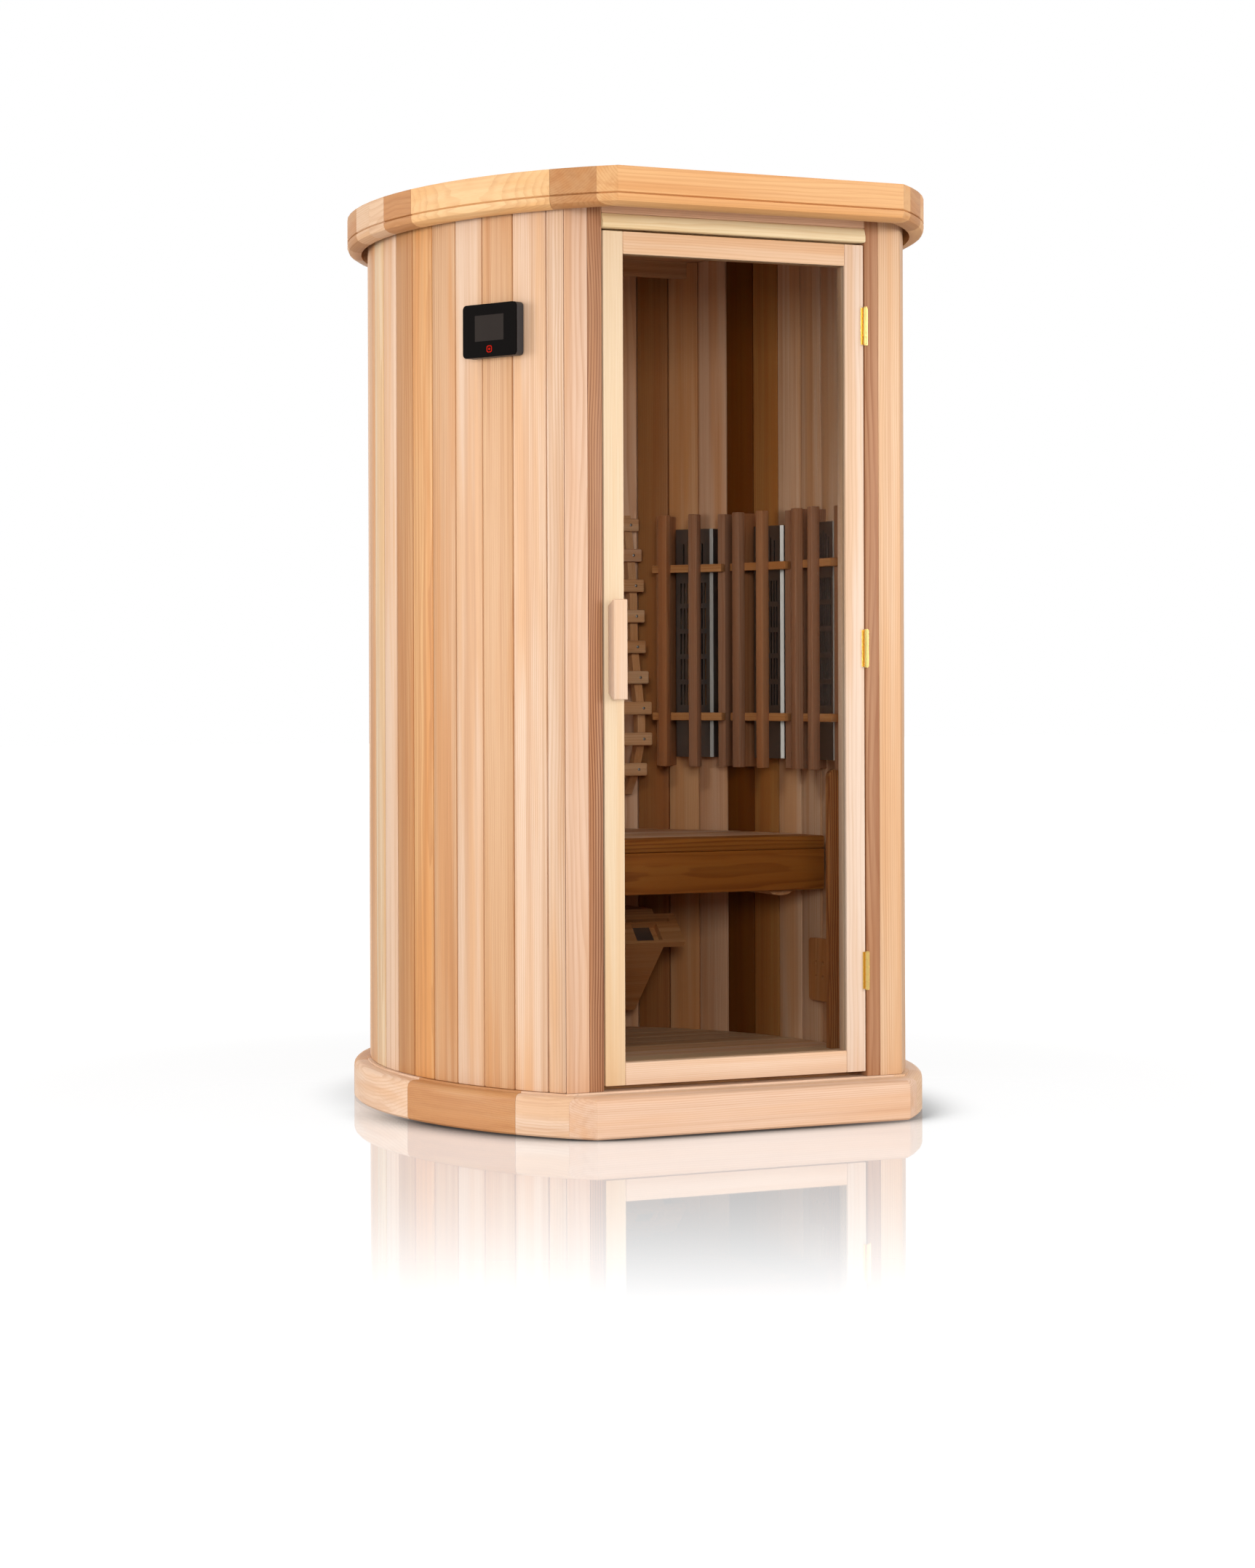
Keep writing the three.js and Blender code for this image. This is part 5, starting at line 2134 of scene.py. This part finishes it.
@dataclass
class StudioFloor:
    """A white floor that mirrors the cabin's foot in front of it and keeps a contact shadow."""

    heading: float
    reach: float = 40.0
    gloss: float = 0.5
    glow: float = 0.87
    matt: float = 0.13
    bounce: float = 0.58
    shadow_reach: float = 0.2
    shadow_samples: int = 16
    shadow_open: Pair = (0.6, 0.95)
    shadow_dark: float = 0.92
    shadow_back: Pair = (0.05, -0.3)
    shadow_right: Pair = (0.75, 0.1)
    shadow_rest: float = 0.2
    far: Pair = (1.2, 3.5)
    far_glow: float = 0.35
    mirror_reach: Pair = (-3.4, -1.0)
    mirror_back: Pair = (0.6, -0.1)
    mirror_side: Pair = (1.3, 0.8)
    mirror_blur: float = 0.02

    def shadow(self, g: Graph, place: Socket, seen: Socket) -> Socket:
        """Works out the contact shadow, strongest at the front and on the left.

        Args:
            g: The floor material's graph.
            place: Object coordinates.
            seen: Whether the floor is looked at directly.

        Returns:
            The share of black.
        """
        inputs = {"Distance": self.shadow_reach}
        near = g.add("ShaderNodeAmbientOcclusion", inputs, samples=self.shadow_samples)
        spot = g.add("ShaderNodeSeparateXYZ", {0: place}).outputs
        front = g.band(spot["Y"], self.shadow_back)
        front = g.times(front, g.band(spot["X"], self.shadow_right))
        front = g.plus(self.shadow_rest, g.times(front, 1.0 - self.shadow_rest))
        shade = g.minus(1.0, g.band(near.outputs["AO"], self.shadow_open))
        return g.times(g.times(shade, front), g.times(seen, self.shadow_dark))

    def paint(self, g: Graph, place: Socket, seen: Socket) -> Socket:
        """Paints the floor white where it is seen, and duller in the light that it throws back.

        Args:
            g: The floor material's graph.
            place: Object coordinates.
            seen: Whether the floor is looked at directly.

        Returns:
            The floor's shader without mirror and shadow.
        """
        grey = g.minus(self.bounce, g.times(seen, self.bounce - self.matt))
        matt = g.flow("ShaderNodeBsdfDiffuse", {"Color": g.grey(grey)})
        away = g.add("ShaderNodeVectorMath", {0: place}, operation="LENGTH").outputs["Value"]
        lift = g.times(g.band(away, self.far), self.far_glow)
        glow = g.times(seen, g.plus(lift, self.glow))
        light = g.flow("ShaderNodeEmission", {"Color": WHITE, "Strength": glow})
        return g.flow("ShaderNodeAddShader", {0: matt, 1: light})

    def mirror(self, g: Graph, place: Socket) -> Socket:
        """Works out where the floor mirrors, which is only in front of the cabin.

        Args:
            g: The floor material's graph.
            place: Object coordinates.

        Returns:
            The mirror's share.
        """
        turn = math.radians(self.heading)
        ahead = (math.sin(-turn), math.cos(turn), 0.0)
        across = (ahead[1], -ahead[0], 0.0)
        depth, aside = (
            g.add("ShaderNodeVectorMath", {0: place, 1: way}, operation="DOT_PRODUCT")
            for way in (ahead, across)
        )
        depth = depth.outputs["Value"]
        wide = g.math("ABSOLUTE", aside.outputs["Value"])
        share = g.times(g.band(depth, self.mirror_reach), self.gloss)
        share = g.times(share, g.band(depth, self.mirror_back))
        return g.times(share, g.band(wide, self.mirror_side))

    def material(self) -> bpy.types.Material:
        """Builds the material.

        Returns:
            The finished material.
        """
        material, g = new_material("studio_floor")
        path = g.add("ShaderNodeLightPath").outputs
        seen = g.math("MAXIMUM", path["Is Camera Ray"], path["Is Transmission Ray"])
        place = g.add("ShaderNodeTexCoord").outputs["Object"]
        gloss = g.flow("ShaderNodeBsdfGlossy", {"Color": WHITE, "Roughness": self.mirror_blur})
        layers = {0: self.mirror(g, place), 1: self.paint(g, place, seen), 2: gloss}
        both = g.flow("ShaderNodeMixShader", layers)
        dark = g.flow("ShaderNodeEmission", {"Strength": 0.0})
        layers = {0: self.shadow(g, place, seen), 1: both, 2: dark}
        g.surface(g.flow("ShaderNodeMixShader", layers))
        return material

    def build(self) -> None:
        """Lays the floor."""
        mesh = bpy.data.meshes.new("studio_floor")
        signs = ((-1, -1), (1, -1), (1, 1), (-1, 1))
        corners = [(x * self.reach, y * self.reach, 0) for x, y in signs]
        mesh.from_pydata(corners, [], [(0, 1, 2, 3)])
        mesh.materials.append(self.material())
        floor = bpy.data.objects.new("studio_floor", mesh)
        bpy.context.scene.collection.objects.link(floor)


@dataclass
class Studio:
    """Floor, soft light, pale surroundings and the camera of the photograph's view."""

    image: tuple[int, int] = (1725, 2156)
    focal: float = 4611.63
    sensor: float = 36.0
    sight: float = 200.0
    horizon: float = 937.33
    stand: Pair = (-3.058, -6.588)
    eye: float = 0.8998
    heading: float = -24.832
    roll: float = -0.1924
    ambient: float = 0.56
    behind: Pair = (-0.2, 0.2)
    lamps: tuple[Lamp, ...] = (
        Lamp("side", (-6.2, 1.5, 1.7), 3.0, 204.0),
        Lamp("key", (-4.8, -4.4, 2.0), 2.4, 62.0),
        Lamp("front", (-2.7, -6.8, 2.0), 1.4, 158.0),
        Lamp("fill", (4.2, -5.6, 1.9), 2.4, 214.0),
        Lamp("top", (0.2, -1.0, 5.5), 3.0, 82.0),
        Lamp("inside", (-0.27, -0.33 + OVAL.shift, 1.25), 0.14, 2.1, False),
    )

    def camera(self) -> None:
        """Sets the camera where the photograph was taken."""
        height = self.image[1]
        data = bpy.data.cameras.new("camera")
        data.sensor_width = self.sensor
        data.lens = self.focal / height * self.sensor
        data.shift_y = -(height / 2 - self.horizon) / height
        data.clip_end = self.sight
        camera = bpy.data.objects.new("camera", data)
        bpy.context.scene.collection.objects.link(camera)
        camera.location = (self.stand[0], self.stand[1] + OVAL.shift, self.eye)
        level = Euler((math.pi / 2, 0.0, math.radians(self.heading)), "XYZ").to_matrix()
        tilt = Matrix.Rotation(math.radians(self.roll), 3, "Z")
        camera.rotation_euler = (level @ tilt).to_euler()
        bpy.context.scene.camera = camera

    def surroundings(self) -> None:
        """Lights the cabin from pale surroundings that show as white."""
        world = bpy.data.worlds.new("studio")
        bpy.context.scene.world = world
        world.use_nodes = True
        g = Graph(world.node_tree)
        path = g.add("ShaderNodeLightPath").outputs
        seen = g.math("MAXIMUM", path["Is Camera Ray"], path["Is Transmission Ray"])
        way = g.add("ShaderNodeTexCoord").outputs["Generated"]
        ahead = g.add("ShaderNodeSeparateXYZ", {0: way}).outputs["Y"]
        mirrored = g.times(path["Is Glossy Ray"], g.band(ahead, self.behind))
        seen = g.math("MAXIMUM", seen, mirrored)
        strength = g.plus(self.ambient, g.times(seen, 1.0 - self.ambient))
        light = g.flow("ShaderNodeBackground", {"Color": WHITE, "Strength": strength})
        g.add("ShaderNodeOutputWorld", {"Surface": light})

    def build(self) -> None:
        """Builds the stage."""
        bpy.context.scene.view_settings.view_transform = "Standard"
        self.camera()
        StudioFloor(self.heading).build()
        self.surroundings()
        for lamp in self.lamps:
            lamp.hang()


def main() -> None:
    """Builds the stage and every sub-assembly of the cabin."""
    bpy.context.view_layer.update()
    Studio().build()
    assemblies = (
        StaveWall(),
        Plinth(),
        Crown(),
        DoorWall(),
        Door(),
        Hinges(),
        ControlPanel(),
        Bench(),
        Backrest(),
        WallHeaters(),
        LegHeater(),
        RightWall(),
    )
    for assembly in assemblies:
        assembly.build()


if __name__ == "__main__":
    main()
